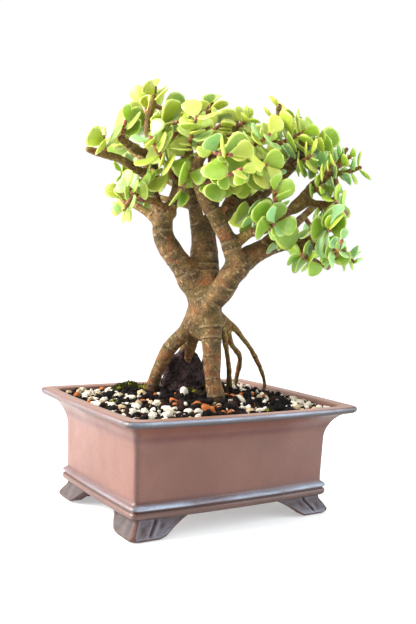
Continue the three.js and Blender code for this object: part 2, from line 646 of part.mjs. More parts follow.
// Pairs of leaves up each stem, every pair turned a quarter from the last. A leaf that would meet
// another leaf or a branch is turned and shortened a little, and left out if that doesn't free it.
function growLeaves() {
  const leaves = [];
  SPRAYS.forEach((spray, owner) => {
    const { curve } = stems[owner];
    const twist = lottery(owner + 1 + SEEDS.nextTwist * spray.seed)() * Math.PI;
    const firstLeaf = SEEDS.leaf + SEEDS.spray * owner + SEEDS.nextLeaf * spray.seed;
    for (let pair = 0; pair < spray.pairs; pair += 1) {
      const rise = (pair + 1) / spray.pairs;
      const t = 0.2 + 0.76 * rise;
      const node = curve.getPoint(t);
      const tangent = curve.getTangent(t).normalize();
      const level = new THREE.Vector3(0, 0, 1).cross(tangent).normalize();
      const outward = node.clone().sub(CROWN_HEART).normalize();
      for (let half = 0; half < 2; half += 1) {
        const draw = lottery(firstLeaf + SEEDS.pair * pair + half);
        const size = spray.leaf * (0.92 + 0.26 * draw()) * (1 - 0.25 * rise * rise);
        const jitter = new THREE.Vector3(draw() - 0.5, draw() - 0.5, draw() - 0.5);
        for (let attempt = 0; attempt < LEAF_TRIES; attempt += 1) {
          const sway = (draw() - 0.5) * (0.3 + 0.35 * attempt);
          const open = 1.2 - 0.45 * rise + (draw() - 0.5) * (0.2 + 0.2 * attempt);
          const angle = twist + pair * (Math.PI / 2) + half * Math.PI + sway;
          const spoke = level.clone().applyAxisAngle(tangent, angle);
          const along = spoke.multiplyScalar(Math.sin(open)).addScaledVector(tangent, Math.cos(open));
          along.addScaledVector(outward, -LEAF.flatten * along.dot(outward)).normalize();
          const light = outward.clone().addScaledVector(tangent, 0.25).addScaledVector(jitter, 0.8);
          const length = size * Math.pow(0.96, attempt);
          const leaf = makeLeaf(owner, node, along, light, length);
          const free = !leafHitsWood(leaf) && !leaves.some((other) => leavesCross(leaf, other));
          if (free) {
            leaves.push(leaf);
            break;
          }
        }
      }
    }
  });
  return leaves;
}

// A leaf as a thin lens: the outline, and a middle raised on each face, cupped toward the light.
function leafSolid(leaf) {
  const rim = LEAF_OUTLINE.map(([x, y]) => onLeaf(leaf, x, y, 0));
  const cup = -LEAF.cup * leaf.length;
  const upper = onLeaf(leaf, 0.56, 0, cup + LEAF.thick / 2);
  const lower = onLeaf(leaf, 0.56, 0, cup - LEAF.thick / 2);
  const points = [...rim, upper, lower];
  const count = rim.length;
  const faces = [];
  for (let k = 0; k < count; k += 1) {
    const next = (k + 1) % count;
    faces.push(count, next, k, count + 1, k, next);
  }
  return solidFrom(points, faces);
}

// A spray: its stem with its leaves grown in, cut off just short of the branch that carries it.
function spraySolid(owner, leaves, branchSpace) {
  const stem = tube(stems[owner].steps, 3);
  const own = leaves.filter((leaf) => leaf.owner === owner).map(leafSolid);
  return mainBody(joined([stem, ...own]).simplify(FINEST).subtract(branchSpace));
}

// Soil: fills the pot, heaps gently toward the trunk, and its surface is covered in grains.
function soilSolid(rootSpace, rockSpace) {
  const shrink = (row, share, z) => ({ ...row, z, halfX: row.halfX * share, halfY: row.halfY * share });
  const clearance = GAP + 0.2;
  const edge = insideRow(SOIL.edge, clearance);
  const rows = [
    insideRow(FLOOR + GAP, clearance),
    ...insideLevels.slice(1, -1).map((level) => insideRow(level.z, clearance)),
    edge,
    shrink(edge, 0.86, SOIL.edge + 1.6),
    shrink(edge, 0.5, SOIL.edge + 2.6),
  ];
  const bottom = new THREE.Vector3(0, 0, FLOOR + GAP);
  const body = loft(rows.map(potRing), bottom, new THREE.Vector3(0, 0, SOIL.heap));
  const recess = [-DRAIN.apart, DRAIN.apart].map((x) => {
    const space = new THREE.BoxGeometry(SCREEN.side + 1, SCREEN.side + 1, 2 * (SCREEN.thick + 2 * GAP));
    space.translate(x, 0, FLOOR + GAP);
    return solidOf(space);
  });
  const filled = joined([body, ...grainSolids(edge)]).simplify(FINEST);
  return mainBody(filled.subtract(joined([rootSpace, rockSpace, ...recess])));
}

// Height of the soil under a place.
function soilHeight(x, y, edge) {
  const share = Math.max(Math.abs(x) / edge.halfX, Math.abs(y) / edge.halfY);
  return THREE.MathUtils.lerp(SOIL.heap, SOIL.edge, share * share);
}

// Pumice and lava grains: eight-sided pebbles on a loose grid, each half sunk in the soil.
function grainSolids(edge) {
  const draw = lottery(GRAINS.seed);
  const stands = LIMBS.map((rows) => turned(rows[rows.length - 2])).filter((place) => place.z < RIM.top + 6);
  const solids = [];
  for (let i = 0; i < GRAINS.acrossX; i += 1) {
    for (let j = 0; j < GRAINS.acrossY; j += 1) {
      const size = GRAINS.small + (GRAINS.large - GRAINS.small) * draw() * draw();
      const reachX = edge.halfX - size - 1;
      const reachY = edge.halfY - size - 1;
      const x = reachX * ((2 * (i + 0.15 + 0.7 * draw())) / GRAINS.acrossX - 1);
      const y = reachY * ((2 * (j + 0.15 + 0.7 * draw())) / GRAINS.acrossY - 1);
      const turn = new THREE.Euler(draw() * 3, draw() * 3, draw() * 3);
      const grain = new THREE.OctahedronGeometry(size, 0);
      grain.scale(1.15, 0.95, 0.8);
      grain.applyMatrix4(new THREE.Matrix4().makeRotationFromEuler(turn));
      const rise = soilHeight(x, y, edge) + size * 0.18;
      grain.translate(x, y, rise);
      const free = stands.every((stand) => Math.hypot(stand.x - x, stand.y - y) > size + 6);
      if (free) {
        solids.push(solidOf(grain));
      }
    }
  }
  return solids;
}

// Lava rock: an egg of lava with a lumpy surface, flat where it stands in the soil.
function rockSolid(growth) {
  const geometry = new THREE.IcosahedronGeometry(1, 2);
  geometry.deleteAttribute('normal');
  geometry.deleteAttribute('uv');
  const rough = mergeVertices(geometry, 1e-4);
  const place = rough.attributes.position;
  const point = new THREE.Vector3();
  for (let k = 0; k < place.count; k += 1) {
    point.fromBufferAttribute(place, k);
    const ripple = Math.sin(5.1 * point.x + ROCK.phase) * Math.sin(4.3 * point.y + 1);
    const wave = ripple + Math.sin(6.7 * point.z + 2.2 * point.x);
    point.multiplyScalar((1 + (ROCK.rough * wave) / 2) * growth);
    place.setXYZ(k, point.x * ROCK.size[0], point.y * ROCK.size[1], point.z * ROCK.size[2]);
  }
  const middle = turned(ROCK.at);
  rough.rotateZ(TREE_TURN).translate(middle.x, middle.y, middle.z);
  return solidOf(rough);
}

function buildTree() {
  const trunk = mainBody(joined(LIMBS.map((rows) => limbTube(rows, 0))).simplify(FINEST));
  const branchSpace = joined(LIMBS.map((rows) => limbTube(rows, GAP)));
  const leaves = growLeaves();
  const sprays = SPRAYS.map((spray, owner) => spraySolid(owner, leaves, branchSpace));
  return { trunk, branchSpace, sprays };
}

const { trunk, branchSpace, sprays } = buildTree();
const rock = mainBody(rockSolid(1).subtract(branchSpace));
const bonsai = new THREE.Group();
bonsai.add(meshOf('pot', potSolid(), LOOKS.pot));
bonsai.add(meshOf('drain_screen_left', screenSolid(-DRAIN.apart), LOOKS.screen));
bonsai.add(meshOf('drain_screen_right', screenSolid(DRAIN.apart), LOOKS.screen));
bonsai.add(meshOf('soil', soilSolid(branchSpace, rockSolid(1.03)), LOOKS.soil));
bonsai.add(meshOf('lava_rock', rock, LOOKS.rock));
bonsai.add(meshOf('trunk', trunk, LOOKS.bark));
sprays.forEach((spray, k) => {
  bonsai.add(meshOf(`spray_${String(k + 1).padStart(2, '0')}`, spray, LOOKS.leaf));
});

// The crown reaches past the pot to one side. The origin is the middle of the whole outline.
bonsai.position.set(PLANT_SHIFT.x, PLANT_SHIFT.y, 0);

export default bonsai;
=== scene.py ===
"""A small succulent tree in a footed, glazed pot: its finished surfaces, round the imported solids.

Shapes are worked out in millimetres in the pot's own frame: the origin is the middle of the pot on
the ground, X runs along its long side, Y away from the photograph's near side, and Z up. The tree
has a frame of its own, turned about Z, in which its limbs are listed.
"""

import logging
import math
from dataclasses import dataclass, field
from enum import Enum, IntEnum

import bmesh
import bpy
import numpy as np
from mathutils import Matrix, Vector


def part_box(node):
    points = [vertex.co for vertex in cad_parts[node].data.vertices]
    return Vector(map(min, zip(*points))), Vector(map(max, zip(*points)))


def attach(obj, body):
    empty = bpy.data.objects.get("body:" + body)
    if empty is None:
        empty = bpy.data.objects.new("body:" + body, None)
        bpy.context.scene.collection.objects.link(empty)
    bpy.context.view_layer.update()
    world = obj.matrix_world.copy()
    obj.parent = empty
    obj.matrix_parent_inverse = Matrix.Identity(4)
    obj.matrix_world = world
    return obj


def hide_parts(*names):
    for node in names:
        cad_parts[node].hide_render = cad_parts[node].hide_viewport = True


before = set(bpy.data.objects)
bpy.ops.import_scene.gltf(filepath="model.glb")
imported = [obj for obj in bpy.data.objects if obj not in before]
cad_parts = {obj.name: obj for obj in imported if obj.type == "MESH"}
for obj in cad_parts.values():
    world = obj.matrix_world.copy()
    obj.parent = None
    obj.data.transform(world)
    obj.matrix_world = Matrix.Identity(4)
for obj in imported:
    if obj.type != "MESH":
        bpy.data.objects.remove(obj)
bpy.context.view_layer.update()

logging.basicConfig(level=logging.INFO, format="%(message)s")
log = logging.getLogger("bonsai")

Array = np.ndarray
Colour = tuple[float, float, float]
MM = 0.001
TAU = 2 * math.pi
UP = np.array([0.0, 0.0, 1.0])
SEED_STEP = 2654435761
SEED_RANGE = 4294967296


class Seed(IntEnum):
    """Where each random choice starts. Limbs, sprays, layers and pairs of leaves add their numbers."""

    CRUMBS = 3
    PALE_PATCHES = 5
    PITS = 5
    ROCK_LUMPS = 8
    GRAINS = 11
    GRAIN_TINTS = 20
    PEBBLES = 30
    LONE_PEBBLE = 40
    BIG_GRAINS = 41
    MOSS = 61
    MOSS_GOLD = 62
    BARK_LUMPS = 71
    RING_WANDER = 73
    RINGS = 100
    GIRTH = 200
    SPRAY_MOOD = 300
    STEM_MOOD = 900
    PACKED_LEAF = 1000
    SMALL_LEAF = 5000
    LEAF_TINT = 7000
    TWIG_LEAF = 20000


# The tree's frame is turned about Z from the pot's.
TREE_TURN = math.radians(-32.67)
CROWN_HEART = np.array([8.0, 2.0, 204.0])

# Limbs of the tree: rows of across, depth, height and radius in the tree's frame.
ROOTS: list[list[list[float]]] = [
    [[-1, 0, 125, 7], [-9, 4, 113, 5.5], [-18, 8, 103, 5],
     [-27, 16, 84, 4.7], [-31, 20, 70, 4.6], [-34, 24, 52, 3.2]],
    [[6, -4, 127, 8], [8, -8, 113, 6.6], [9, -10, 103, 6],
     [10, -10, 87, 5.5], [13, -11, 71, 5.8], [16, -12, 52, 3.8]],
    [[12, 4, 122, 3.2], [15, 7, 116, 2.5], [18, 15, 105, 2.1],
     [21, 30, 90, 1.9], [23, 46, 71, 2.2], [24, 50, 54, 1.5]],
    [[12, 6, 124, 3.4], [17, 10, 118, 2.4], [22, 22, 105, 2],
     [29, 40, 94, 1.9], [28, 58, 77, 2], [24, 56, 56, 1.5]],
    [[12, 8, 124, 3.6], [20, 13, 119, 2.4], [29, 22, 110, 2],
     [39, 35, 96, 1.9], [48, 49, 73, 1.8], [40, 42, 58, 1.4]],
    [[-1, 6, 124, 5], [-8, 20, 105, 2.9], [-18, 40, 84, 2.5], [-23, 44, 68, 2.4], [-16, 34, 56, 1.5]],
    [[4, 6, 124, 6], [8, 20, 104, 4.2], [5, 38, 86, 3.6], [2, 46, 69, 3.8], [1, 42, 56, 2.4]],
    [[2, 2, 124, 6], [-3, 8, 110, 3.8], [-6, 16, 98, 3.2], [-8, 22, 88, 2.4]],
]
BRANCHES: list[list[list[float]]] = [
    [[3, 1, 116, 8.5], [3, 0, 125, 11.3], [3, 0, 136, 11.6],
     [2, 3, 151, 9.8], [1, 6, 166, 8.9], [0, 6, 178, 7.5]],
    [[1, 0, 138, 9], [-5, -1, 146, 9.3], [-12, -3, 155, 8.4],
     [-20, -5, 165, 7.2], [-26, -6, 175, 6.4], [-27, -5, 184, 5.4]],
    [[-26, -6, 178, 5.4], [-24, -6, 188, 4.5], [-19, -8, 199, 4.2],
     [-17, -8, 209, 3.9], [-14, -5, 223, 3.2], [-12, -3, 234, 2.4]],
    [[-21, -8, 189, 3.4], [-30, -14, 195, 2.7], [-37, -17, 196, 2.4],
     [-44, -19, 197, 2.2], [-50, -20, 199, 1.8]],
    [[-27, -3, 180, 4], [-34, 3, 187, 3], [-41, 7, 192, 2.6], [-47, 10, 195, 2.1], [-53, 16, 196, 1.6]],
    [[-27, -3, 181, 5], [-30, 4, 190, 4.4], [-35, 12, 205, 4.5], [-37, 14, 221, 5.5],
     [-38, 12, 235, 4.3], [-39, 10, 252, 2.7], [-37, 9, 262, 2]],
    [[-37, 13, 214, 3.6], [-47, 4, 218, 3.2], [-55, -4, 222, 2.9], [-74, -14, 226, 2.4]],
    [[-38, 12, 228, 3.4], [-46, 2, 230, 2.9], [-55, -5, 235, 2.6]],
    [[-37, 14, 222, 3.4], [-45, 26, 229, 2.8], [-55, 34, 236, 2.2]],
    [[0, 6, 172, 6.5], [-5, 8, 188, 4.8], [-7, 12, 200, 4.2], [-9, 20, 218, 3.4], [-13, 30, 238, 2.6]],
    [[1, 6, 172, 6.5], [4, 14, 189, 4.4], [6, 24, 206, 4.1], [4, 24, 226, 3.2], [-1, 16, 240, 2.4]],
    [[6, 24, 206, 3.6], [14, 34, 220, 3], [20, 44, 232, 2.4]],
    [[-8, 14, 203, 3.6], [-16, 30, 210, 3], [-28, 42, 216, 2.4]],
    [[4, 24, 224, 3], [5, 30, 238, 2.6], [5, 36, 250, 2.1]],
    [[5, -5, 128, 6.5], [7, -9, 133, 7], [14, -11, 142, 7.2], [19, -12, 152, 7.2], [23, -12, 160, 7.2]],
    [[23, -12, 157, 6.6], [17, -16, 171, 5.6], [10, -20, 183, 5.3], [2, -24, 195, 4.9],
     [-3, -26, 205, 4.6], [-5, -28, 218, 3.8], [1, -33, 229, 3.2]],
    [[22, -10, 155, 7], [28, -4, 162, 7.5], [35, -2, 167, 7],
     [45, 2, 172, 5.9], [57, 4, 174, 4.6], [66, 2, 172, 3.3]],
    [[62, 2, 173, 3], [79, -2, 172, 2], [91, -4, 170, 1.6]],
    [[58, 3, 171, 3], [70, -5, 164, 2], [80, -10, 159, 1.7]],
    [[64, 3, 172, 3], [73, 0, 181, 2.1], [80, -2, 187, 1.8]],
    [[10, -20, 184, 4.2], [16, -7, 195, 4.7], [18, -2, 206, 4.2],
     [18, 0, 222, 3.5], [17, 2, 236, 2.9], [18, 4, 249, 2.4]],
    [[15, -6, 195, 4], [26, 0, 198, 3.7], [37, 6, 205, 3.6],
     [51, 12, 219, 4], [60, 14, 232, 3.8], [63, 14, 241, 2.8]],
    [[40, 7, 208, 3], [40, 8, 224, 2.6], [42, 8, 238, 2.2]],
    [[38, 6, 206, 3], [45, 22, 216, 2.8], [54, 38, 228, 2.2]],
    [[20, -14, 171, 3.8], [29, -20, 178, 2.9], [38, -22, 180, 2.8],
     [46, -18, 186, 2.8], [52, -12, 192, 3.2], [60, -8, 198, 3.6]],
    [[57, -9, 196, 3.3], [67, -4, 208, 3.5], [75, 0, 217, 3.1]],
    [[58, -9, 197, 3.3], [67, -6, 200, 2.8], [75, -8, 199, 2.3], [83, -10, 203, 1.9]],
    [[74, -8, 199, 2.2], [83, -6, 196, 1.8], [91, -6, 194, 1.5]],
    [[50, 3, 173, 4], [58, 18, 184, 3.4], [68, 32, 194, 2.8], [78, 40, 204, 2.2]],
    [[24, 0, 197, 3.4], [27, 18, 204, 2.8], [30, 38, 208, 2.2]],
    [[5, 17, 194, 3.4], [2, 34, 202, 2.8], [-3, 46, 208, 2.2]],
    [[-8, 10, 196, 3.2], [-22, 26, 200, 2.6], [-34, 42, 204, 2.2]],
]
# Short stubs where branches were cut back, in the tree's frame: base, end and radius.
STUBS: list[list[list[float]]] = [
    [[7, -19, 188, 3.0], [13, -22, 193, 2.6]],
    [[4, 10, 226, 2.6], [13, 6, 232, 3.0]],
    [[36, -2, 168, 4.2], [44, -6, 178, 3.2], [50, -8, 187, 2.7]],
    [[-37, 13, 226, 3.4], [-31, 8, 230, 3.2]],
    [[-37, 9, 258, 1.9], [-36.5, 8.5, 264, 1.5], [-36, 8, 271, 1.7]],
    [[42, 8, 234, 2.2], [44.5, 8, 250, 1.8], [45.5, 8, 263, 2.0]],
    [[-1, 16, 238, 2.2], [0, 15, 252, 1.9], [2.4, 14, 263, 2.1]],
    [[63, 14, 238, 2.4], [62, 14, 248, 1.8], [60, 14, 256, 1.9]],
    [[62, 13, 237, 2.2], [69, 10, 241, 1.7], [73.5, 8, 243, 1.8]],
    [[75, 0, 215, 2.6], [84, 1, 225, 1.8], [90, 2, 236, 1.8]],
    [[79, 1, 219, 2.0], [90, -1, 221, 1.6], [98.5, -3, 224, 1.8]],
]
LIMBS = ROOTS + BRANCHES + STUBS
# Leafy sprays, in the tree's frame: where the stem leaves its branch, where it ends, how many
# pairs of leaves, the leaves' length and the seed of their turns.
SPRAYS: list[tuple[list[float], list[float], int, float, int]] = [
    ([-64, -10, 224], [-65, -16, 235], 6, 17, 0), ([-54, -5, 235], [-52, -11, 246], 5, 17, 1),
    ([-38, 9, 246], [-19, -4, 248], 5, 18, 10), ([-37, 9, 261], [-24, 20, 258], 4, 17, 6),
    ([-36, 12, 231], [-7, 3, 254], 5, 16, 6), ([-16, -7, 214], [-7, -25, 248], 5, 18, 3),
    ([-12, -3, 233], [9, -8, 247], 4, 17, 3), ([-1, 16, 239], [-1, 9, 264], 5, 17, 6),
    ([5, 32, 242], [26, 27, 254], 5, 17, 0), ([-17, -8, 208], [-35, -27, 234], 5, 18, 0),
    ([0, -32, 227], [15, -52, 221], 4, 18, 10), ([-19, -8, 200], [-10, -32, 213], 4, 18, 0),
    ([-38, -17, 196], [-47, -31, 202], 4, 13, 3), ([-50, -20, 199], [-33, -11, 216], 4, 16, 3),
    ([-45, -19, 197], [-50, -27, 188], 3, 12, 7), ([-53, 16, 196], [-60, 36, 204], 3, 13, 8),
    ([-36, 14, 213], [-14, 3, 216], 4, 12, 7), ([18, 3, 247], [26, 1, 253], 3, 12, 9),
    ([18, 1, 230], [38, -29, 238], 6, 16, 2), ([42, 8, 237], [64, -1, 247], 6, 18, 8),
    ([63, 14, 240], [80, 39, 243], 5, 17, 10), ([61, 14, 235], [87, 18, 219], 4, 17, 9),
    ([75, 0, 216], [93, 1, 232], 5, 11, 3), ([83, -10, 203], [83, -4, 221], 3, 12, 0),
    ([71, -2, 213], [80, -16, 225], 3, 12, 8), ([56, 13, 226], [66, -12, 229], 4, 17, 9),
    ([18, 0, 224], [37, -34, 219], 5, 18, 11), ([46, 10, 213], [34, -3, 235], 3, 16, 0),
    ([37, 6, 205], [47, -8, 225], 4, 15, 11), ([18, -2, 208], [9, -35, 216], 4, 17, 7),
    ([30, 3, 201], [32, -18, 185], 3, 17, 10), ([-3, -26, 207], [21, -55, 213], 3, 14, 3),
    ([37, -22, 180], [43, -37, 184], 3, 18, 10), ([47, -17, 187], [42, -35, 204], 4, 17, 10),
    ([44, 2, 171], [56, -16, 174], 3, 16, 0), ([80, -2, 187], [77, -30, 182], 5, 18, 4),
    ([91, -6, 194], [81, -17, 201], 4, 13, 10), ([91, -4, 170], [98, -6, 163], 4, 11, 0),
    ([73, -7, 163], [60, -33, 166], 3, 17, 7), ([80, -10, 159], [83, -42, 175], 4, 12, 2),
    ([66, -4, 207], [73, -18, 209], 3, 11, 4), ([-55, 34, 236], [-59, 50, 247], 5, 17, 0),
    ([-40, 19, 225], [-57, 16, 216], 3, 12, 8), ([-38, 12, 240], [-44, 37, 266], 5, 18, 3),
    ([-28, 42, 216], [-53, 64, 209], 4, 12, 2), ([-34, 42, 204], [-52, 48, 205], 3, 12, 5),
    ([-13, 30, 238], [-16, 56, 263], 4, 18, 0), ([-3, 46, 208], [-1, 70, 220], 4, 17, 7),
    ([20, 44, 232], [28, 51, 254], 3, 17, 0), ([30, 38, 208], [27, 70, 201], 3, 17, 10),
    ([54, 38, 228], [69, 56, 254], 5, 17, 4), ([78, 40, 204], [89, 47, 195], 3, 17, 5),
    ([68, 32, 194], [91, 43, 173], 5, 17, 1),
]


# numbers, curves and meshes


class Lottery:
    """Repeatable random numbers: each state is the last times a factor plus a shift, modulo 2^32."""

    def __init__(self, seed: int) -> None:
        """Starts from a seed and lets the first number go."""
        self.state = (seed * SEED_STEP) % SEED_RANGE
        self.draw()

    def draw(self) -> float:
        """The next number, from 0 to 1."""
        self.state = (self.state * 1664525 + 1013904223) % SEED_RANGE
        return self.state / SEED_RANGE


def unit(vectors: Array) -> Array:
    """Vectors, each divided by its own length."""
    return vectors / np.linalg.norm(vectors, axis=-1, keepdims=True)


def linear(red: float, green: float, blue: float) -> Colour:
    """A screen colour of 0 to 255 as linear light: each share to the power 2.2."""
    return ((red / 255) ** 2.2, (green / 255) ** 2.2, (blue / 255) ** 2.2)


def turn_level(rows: Array, angle: float) -> Array:
    """Places turned about Z: (x cos a - y sin a, x sin a + y cos a, z)."""
    c, s = math.cos(angle), math.sin(angle)
    x, y, z = (np.asarray(rows, float)[..., k] for k in range(3))
    return np.stack([c * x - s * y, s * x + c * y, z], -1)


def from_tree(rows: Array) -> Array:
    """Places of the tree's frame in the pot's."""
    return turn_level(rows, TREE_TURN)


def spin(vectors: Array, axis: Array, angle: float) -> Array:
    """Vectors turned about a unit axis: v cos a + (axis x v) sin a + axis (axis . v)(1 - cos a)."""
    c, s = math.cos(angle), math.sin(angle)
    return vectors * c + np.cross(axis, vectors) * s + axis * np.dot(vectors, axis) * (1 - c)


def smooth_curve(knots: Array, at: Array) -> Array:
    """Points of the centripetal Catmull-Rom curve through the knots.

    Each span is the cubic whose end slopes come from the knots on both sides, weighted by the
    square roots of the distances between them. Past each end stands the mirror image of the
    second knot.

    Args:
        knots: places, one per row.
        at: shares of the way along, from 0 to 1, each span taking an equal share.

    Returns:
        One place per share.
    """
    last = len(knots) - 1
    padded = np.concatenate([[2 * knots[0] - knots[1]], knots, [2 * knots[-1] - knots[-2]]])
    where = np.asarray(at, float) * last
    span = np.minimum(where.astype(int), last - 1)
    w = (where - span)[:, None]
    p0, p1, p2, p3 = (padded[span + k] for k in range(4))
    gaps = [np.maximum(np.linalg.norm(b - a, axis=1, keepdims=True), 1e-8) ** 0.5
            for a, b in ((p0, p1), (p1, p2), (p2, p3))]
    d0, d1, d2 = gaps
    slope1 = ((p1 - p0) / d0 - (p2 - p0) / (d0 + d1) + (p2 - p1) / d1) * d1
    slope2 = ((p2 - p1) / d1 - (p3 - p1) / (d1 + d2) + (p3 - p2) / d2) * d1
    square, cube = 3 * (p2 - p1) - 2 * slope1 - slope2, 2 * (p1 - p2) + slope1 + slope2
    return p1 + slope1 * w + square * w ** 2 + cube * w ** 3


def run_along(path: Array) -> Array:
    """How far along a path each of its places is, summed over its straight steps."""
    return np.concatenate([[0], np.cumsum(np.linalg.norm(np.diff(path, axis=0), axis=1))])


def limb_steps(rows: list[list[float]], step: float) -> tuple[Array, Array]:
    """Places and radii along a limb, at even shares of each span.

    Args:
        rows: the limb's rows in the tree's frame.
        step: about how far apart the places are.

    Returns:
        Places in the pot's frame and the radius at each.
    """
    table = np.array(rows, float)
    knots = from_tree(table)
    spans = np.linalg.norm(np.diff(knots, axis=0), axis=1)
    parts = np.maximum(1, np.floor(spans / step + 0.5)).astype(int)
    shares = np.concatenate([(k + np.arange(n) / n) / len(parts) for k, n in enumerate(parts)] + [[1.0]])
    radii = np.interp(shares * len(parts), np.arange(len(table)), table[:, 3])
    return smooth_curve(knots, shares), radii


def value_noise(points: Array, cell: float, seed: int) -> Array:
    """A smooth random field from -1 to 1.

    Each corner of a lattice gets a number by mixing its three whole coordinates and the seed, and
    a point blends the eight numbers round it by the smoothstep of its place in the cell.

    Args:
        points: places, one per row.
        cell: the lattice's side.
        seed: which field.

    Returns:
        One number per place.
    """
    scaled = points / cell
    low = np.floor(scaled).astype(np.int64)
    share = scaled - low
    share = share * share * (3 - 2 * share)
    total = np.zeros(len(points))
    for corner in np.ndindex(2, 2, 2):
        at = low + corner
        mixed = (at[:, 0] * 73856093) ^ (at[:, 1] * 19349663) ^ (at[:, 2] * 83492791) ^ (seed * 374761393)
        mixed = (mixed & 0xFFFFFFFF) * 1664525 & 0xFFFFFFFF
        mixed = (mixed ^ (mixed >> 15)) * 2246822519 & 0xFFFFFFFF
        mixed = mixed ^ (mixed >> 13)
        weight = np.prod(np.where(corner, share, 1 - share), axis=1)
        total += weight * (mixed / 2147483648.0 - 1)
    return total


def band_faces(rows: int, count: int, start: int = 0) -> Array:
    """Quads between neighbouring rings of equal counts, each closing on itself.

    Args:
        rows: number of rings.
        count: points in each ring.
        start: index of the first point.

    Returns:
        Four point indices per face.
    """
    ring = np.arange(count)
    low = start + np.arange(rows - 1)[:, None] * count
    here, beside = low + ring, low + (ring + 1) % count
    return np.stack([here, beside, beside + count, here + count], -1).reshape(-1, 4)


def cap_faces(ring_start: int, count: int, hub: int, up: bool) -> Array:
    """A fan of triangles from a hub to a ring, facing up or down."""
    ring = ring_start + np.arange(count)
    beside = np.roll(ring, -1)
    first, second = (ring, beside) if up else (beside, ring)
    return np.stack([np.full(count, hub), first, second], -1)


def closed_net(rings: Array, start: Array, end: Array) -> tuple[Array, list[list[int]]]:
    """Rings joined in a row, with a fan of triangles to a middle point at each end.

    Args:
        rings: rows x count x 3.
        start: the middle point before the first ring.
        end: the middle point after the last one.

    Returns:
        Points and faces.
    """
    rows, count = rings.shape[:2]
    hub = rows * count
    faces = band_faces(rows, count).tolist() + cap_faces(0, count, hub, False).tolist()
    faces += cap_faces(hub - count, count, hub + 1, True).tolist()
    return np.concatenate([rings.reshape(-1, 3), [start, end]]), faces


def ball_net(splits: int) -> tuple[Array, Array]:
    """Points and faces of a ball of radius 1: a twenty-sided one whose faces are split again and again."""
    made = bmesh.new()
    bmesh.ops.create_icosphere(made, subdivisions=splits, radius=1.0)
    points = np.array([vert.co[:] for vert in made.verts])
    faces = np.array([[vert.index for vert in face.verts] for face in made.faces])
    made.free()
    return points, faces


def tube_rings(path: Array, radii: Array, sides: int) -> Array:
    """Rings of a round tube carried along a path.

    Each ring is centre + radius (side cos a + other sin a), where side is the last ring's side
    made perpendicular to the path again, and other is path x side.

    Args:
        path: middle points.
        radii: radius at each.
        sides: points in each ring.

    Returns:
        Rings of points: rows x sides x 3.
    """
    along = unit(np.gradient(path, axis=0))
    side = unit(np.cross(along[0], [0.31, 0.95, 0.05]))
    frames = []
    for tangent in along:
        side = unit(side - tangent * np.dot(side, tangent))
        frames.append(side)
    sides_of = np.array(frames)
    other = np.cross(along, sides_of)
    angle = np.arange(sides) / sides * TAU
    spokes = sides_of[:, None] * np.cos(angle)[:, None] + other[:, None] * np.sin(angle)[:, None]
    return path[:, None] + spokes * radii[:, None, None]


POT_LOW, POT_HIGH = (np.array(corner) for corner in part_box("pot"))
POT_MIDDLE = np.array([(POT_LOW[0] + POT_HIGH[0]) / 2, (POT_LOW[1] + POT_HIGH[1]) / 2, POT_LOW[2]])


def to_metres(points: Array) -> Array:
    """Places of the pot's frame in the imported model's, in metres."""
    return points * MM + POT_MIDDLE


@dataclass
class Skin:
    """A mesh in the making: points in the pot's frame, faces, and what varies over them."""

    points: Array
    faces: list[list[int]]
    colours: dict[str, Array] = field(default_factory=dict)
    amounts: dict[str, Array] = field(default_factory=dict)
    smooth: bool = True


def join_skins(skins: list[Skin]) -> Skin:
    """One skin of several that carry the same attributes."""
    faces, start = [], 0
    for skin in skins:
        faces += (np.array(skin.faces) + start).tolist() if same_sides(skin) else [
            [k + start for k in face] for face in skin.faces]
        start += len(skin.points)
    first = skins[0]
    return Skin(
        np.concatenate([skin.points for skin in skins]), faces,
        {key: np.concatenate([skin.colours[key] for skin in skins]) for key in first.colours},
        {key: np.concatenate([skin.amounts[key] for skin in skins]) for key in first.amounts},
        first.smooth)


def same_sides(skin: Skin) -> bool:
    """Whether all faces of a skin have equally many corners."""
    return len({len(face) for face in skin.faces}) == 1


def set_out(name: str, data: bpy.types.ID) -> bpy.types.Object:
    """Adds an object with this mesh, light or camera to the scene."""
    made = bpy.data.objects.new(name, data)
    bpy.context.scene.collection.objects.link(made)
    return made


def carry_amounts(mesh: bpy.types.Mesh, amounts: dict[str, Array]) -> None:
    """Gives a mesh one attribute per amount, with a number at each point."""
    for key, values in amounts.items():
        mesh.attributes.new(key, "FLOAT", "POINT").data.foreach_set("value", values.astype(np.float32))


def add_piece(name: str, skin: Skin, finish: bpy.types.Material, slot: str, *stands_for: str) -> None:
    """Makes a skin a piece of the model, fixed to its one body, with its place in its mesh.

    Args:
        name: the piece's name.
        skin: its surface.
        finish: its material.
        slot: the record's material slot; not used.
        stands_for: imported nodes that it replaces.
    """
    mesh = bpy.data.meshes.new(name)
    mesh.from_pydata(to_metres(skin.points).tolist(), [], skin.faces)
    for key, values in skin.colours.items():
        layer = mesh.attributes.new(key, "FLOAT_COLOR", "POINT")
        rgba = np.concatenate([values, np.ones((len(values), 1))], 1)
        layer.data.foreach_set("color", rgba.astype(np.float32).ravel())
    carry_amounts(mesh, skin.amounts)
    mesh.polygons.foreach_set("use_smooth", [skin.smooth] * len(mesh.polygons))
    mesh.materials.append(finish)
    mesh.update()
    piece = set_out(name, mesh)
    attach(piece, "root")
    if stands_for:
        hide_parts(*stands_for)
    log.info("%s: %d faces", name, len(mesh.polygons))


# finishes


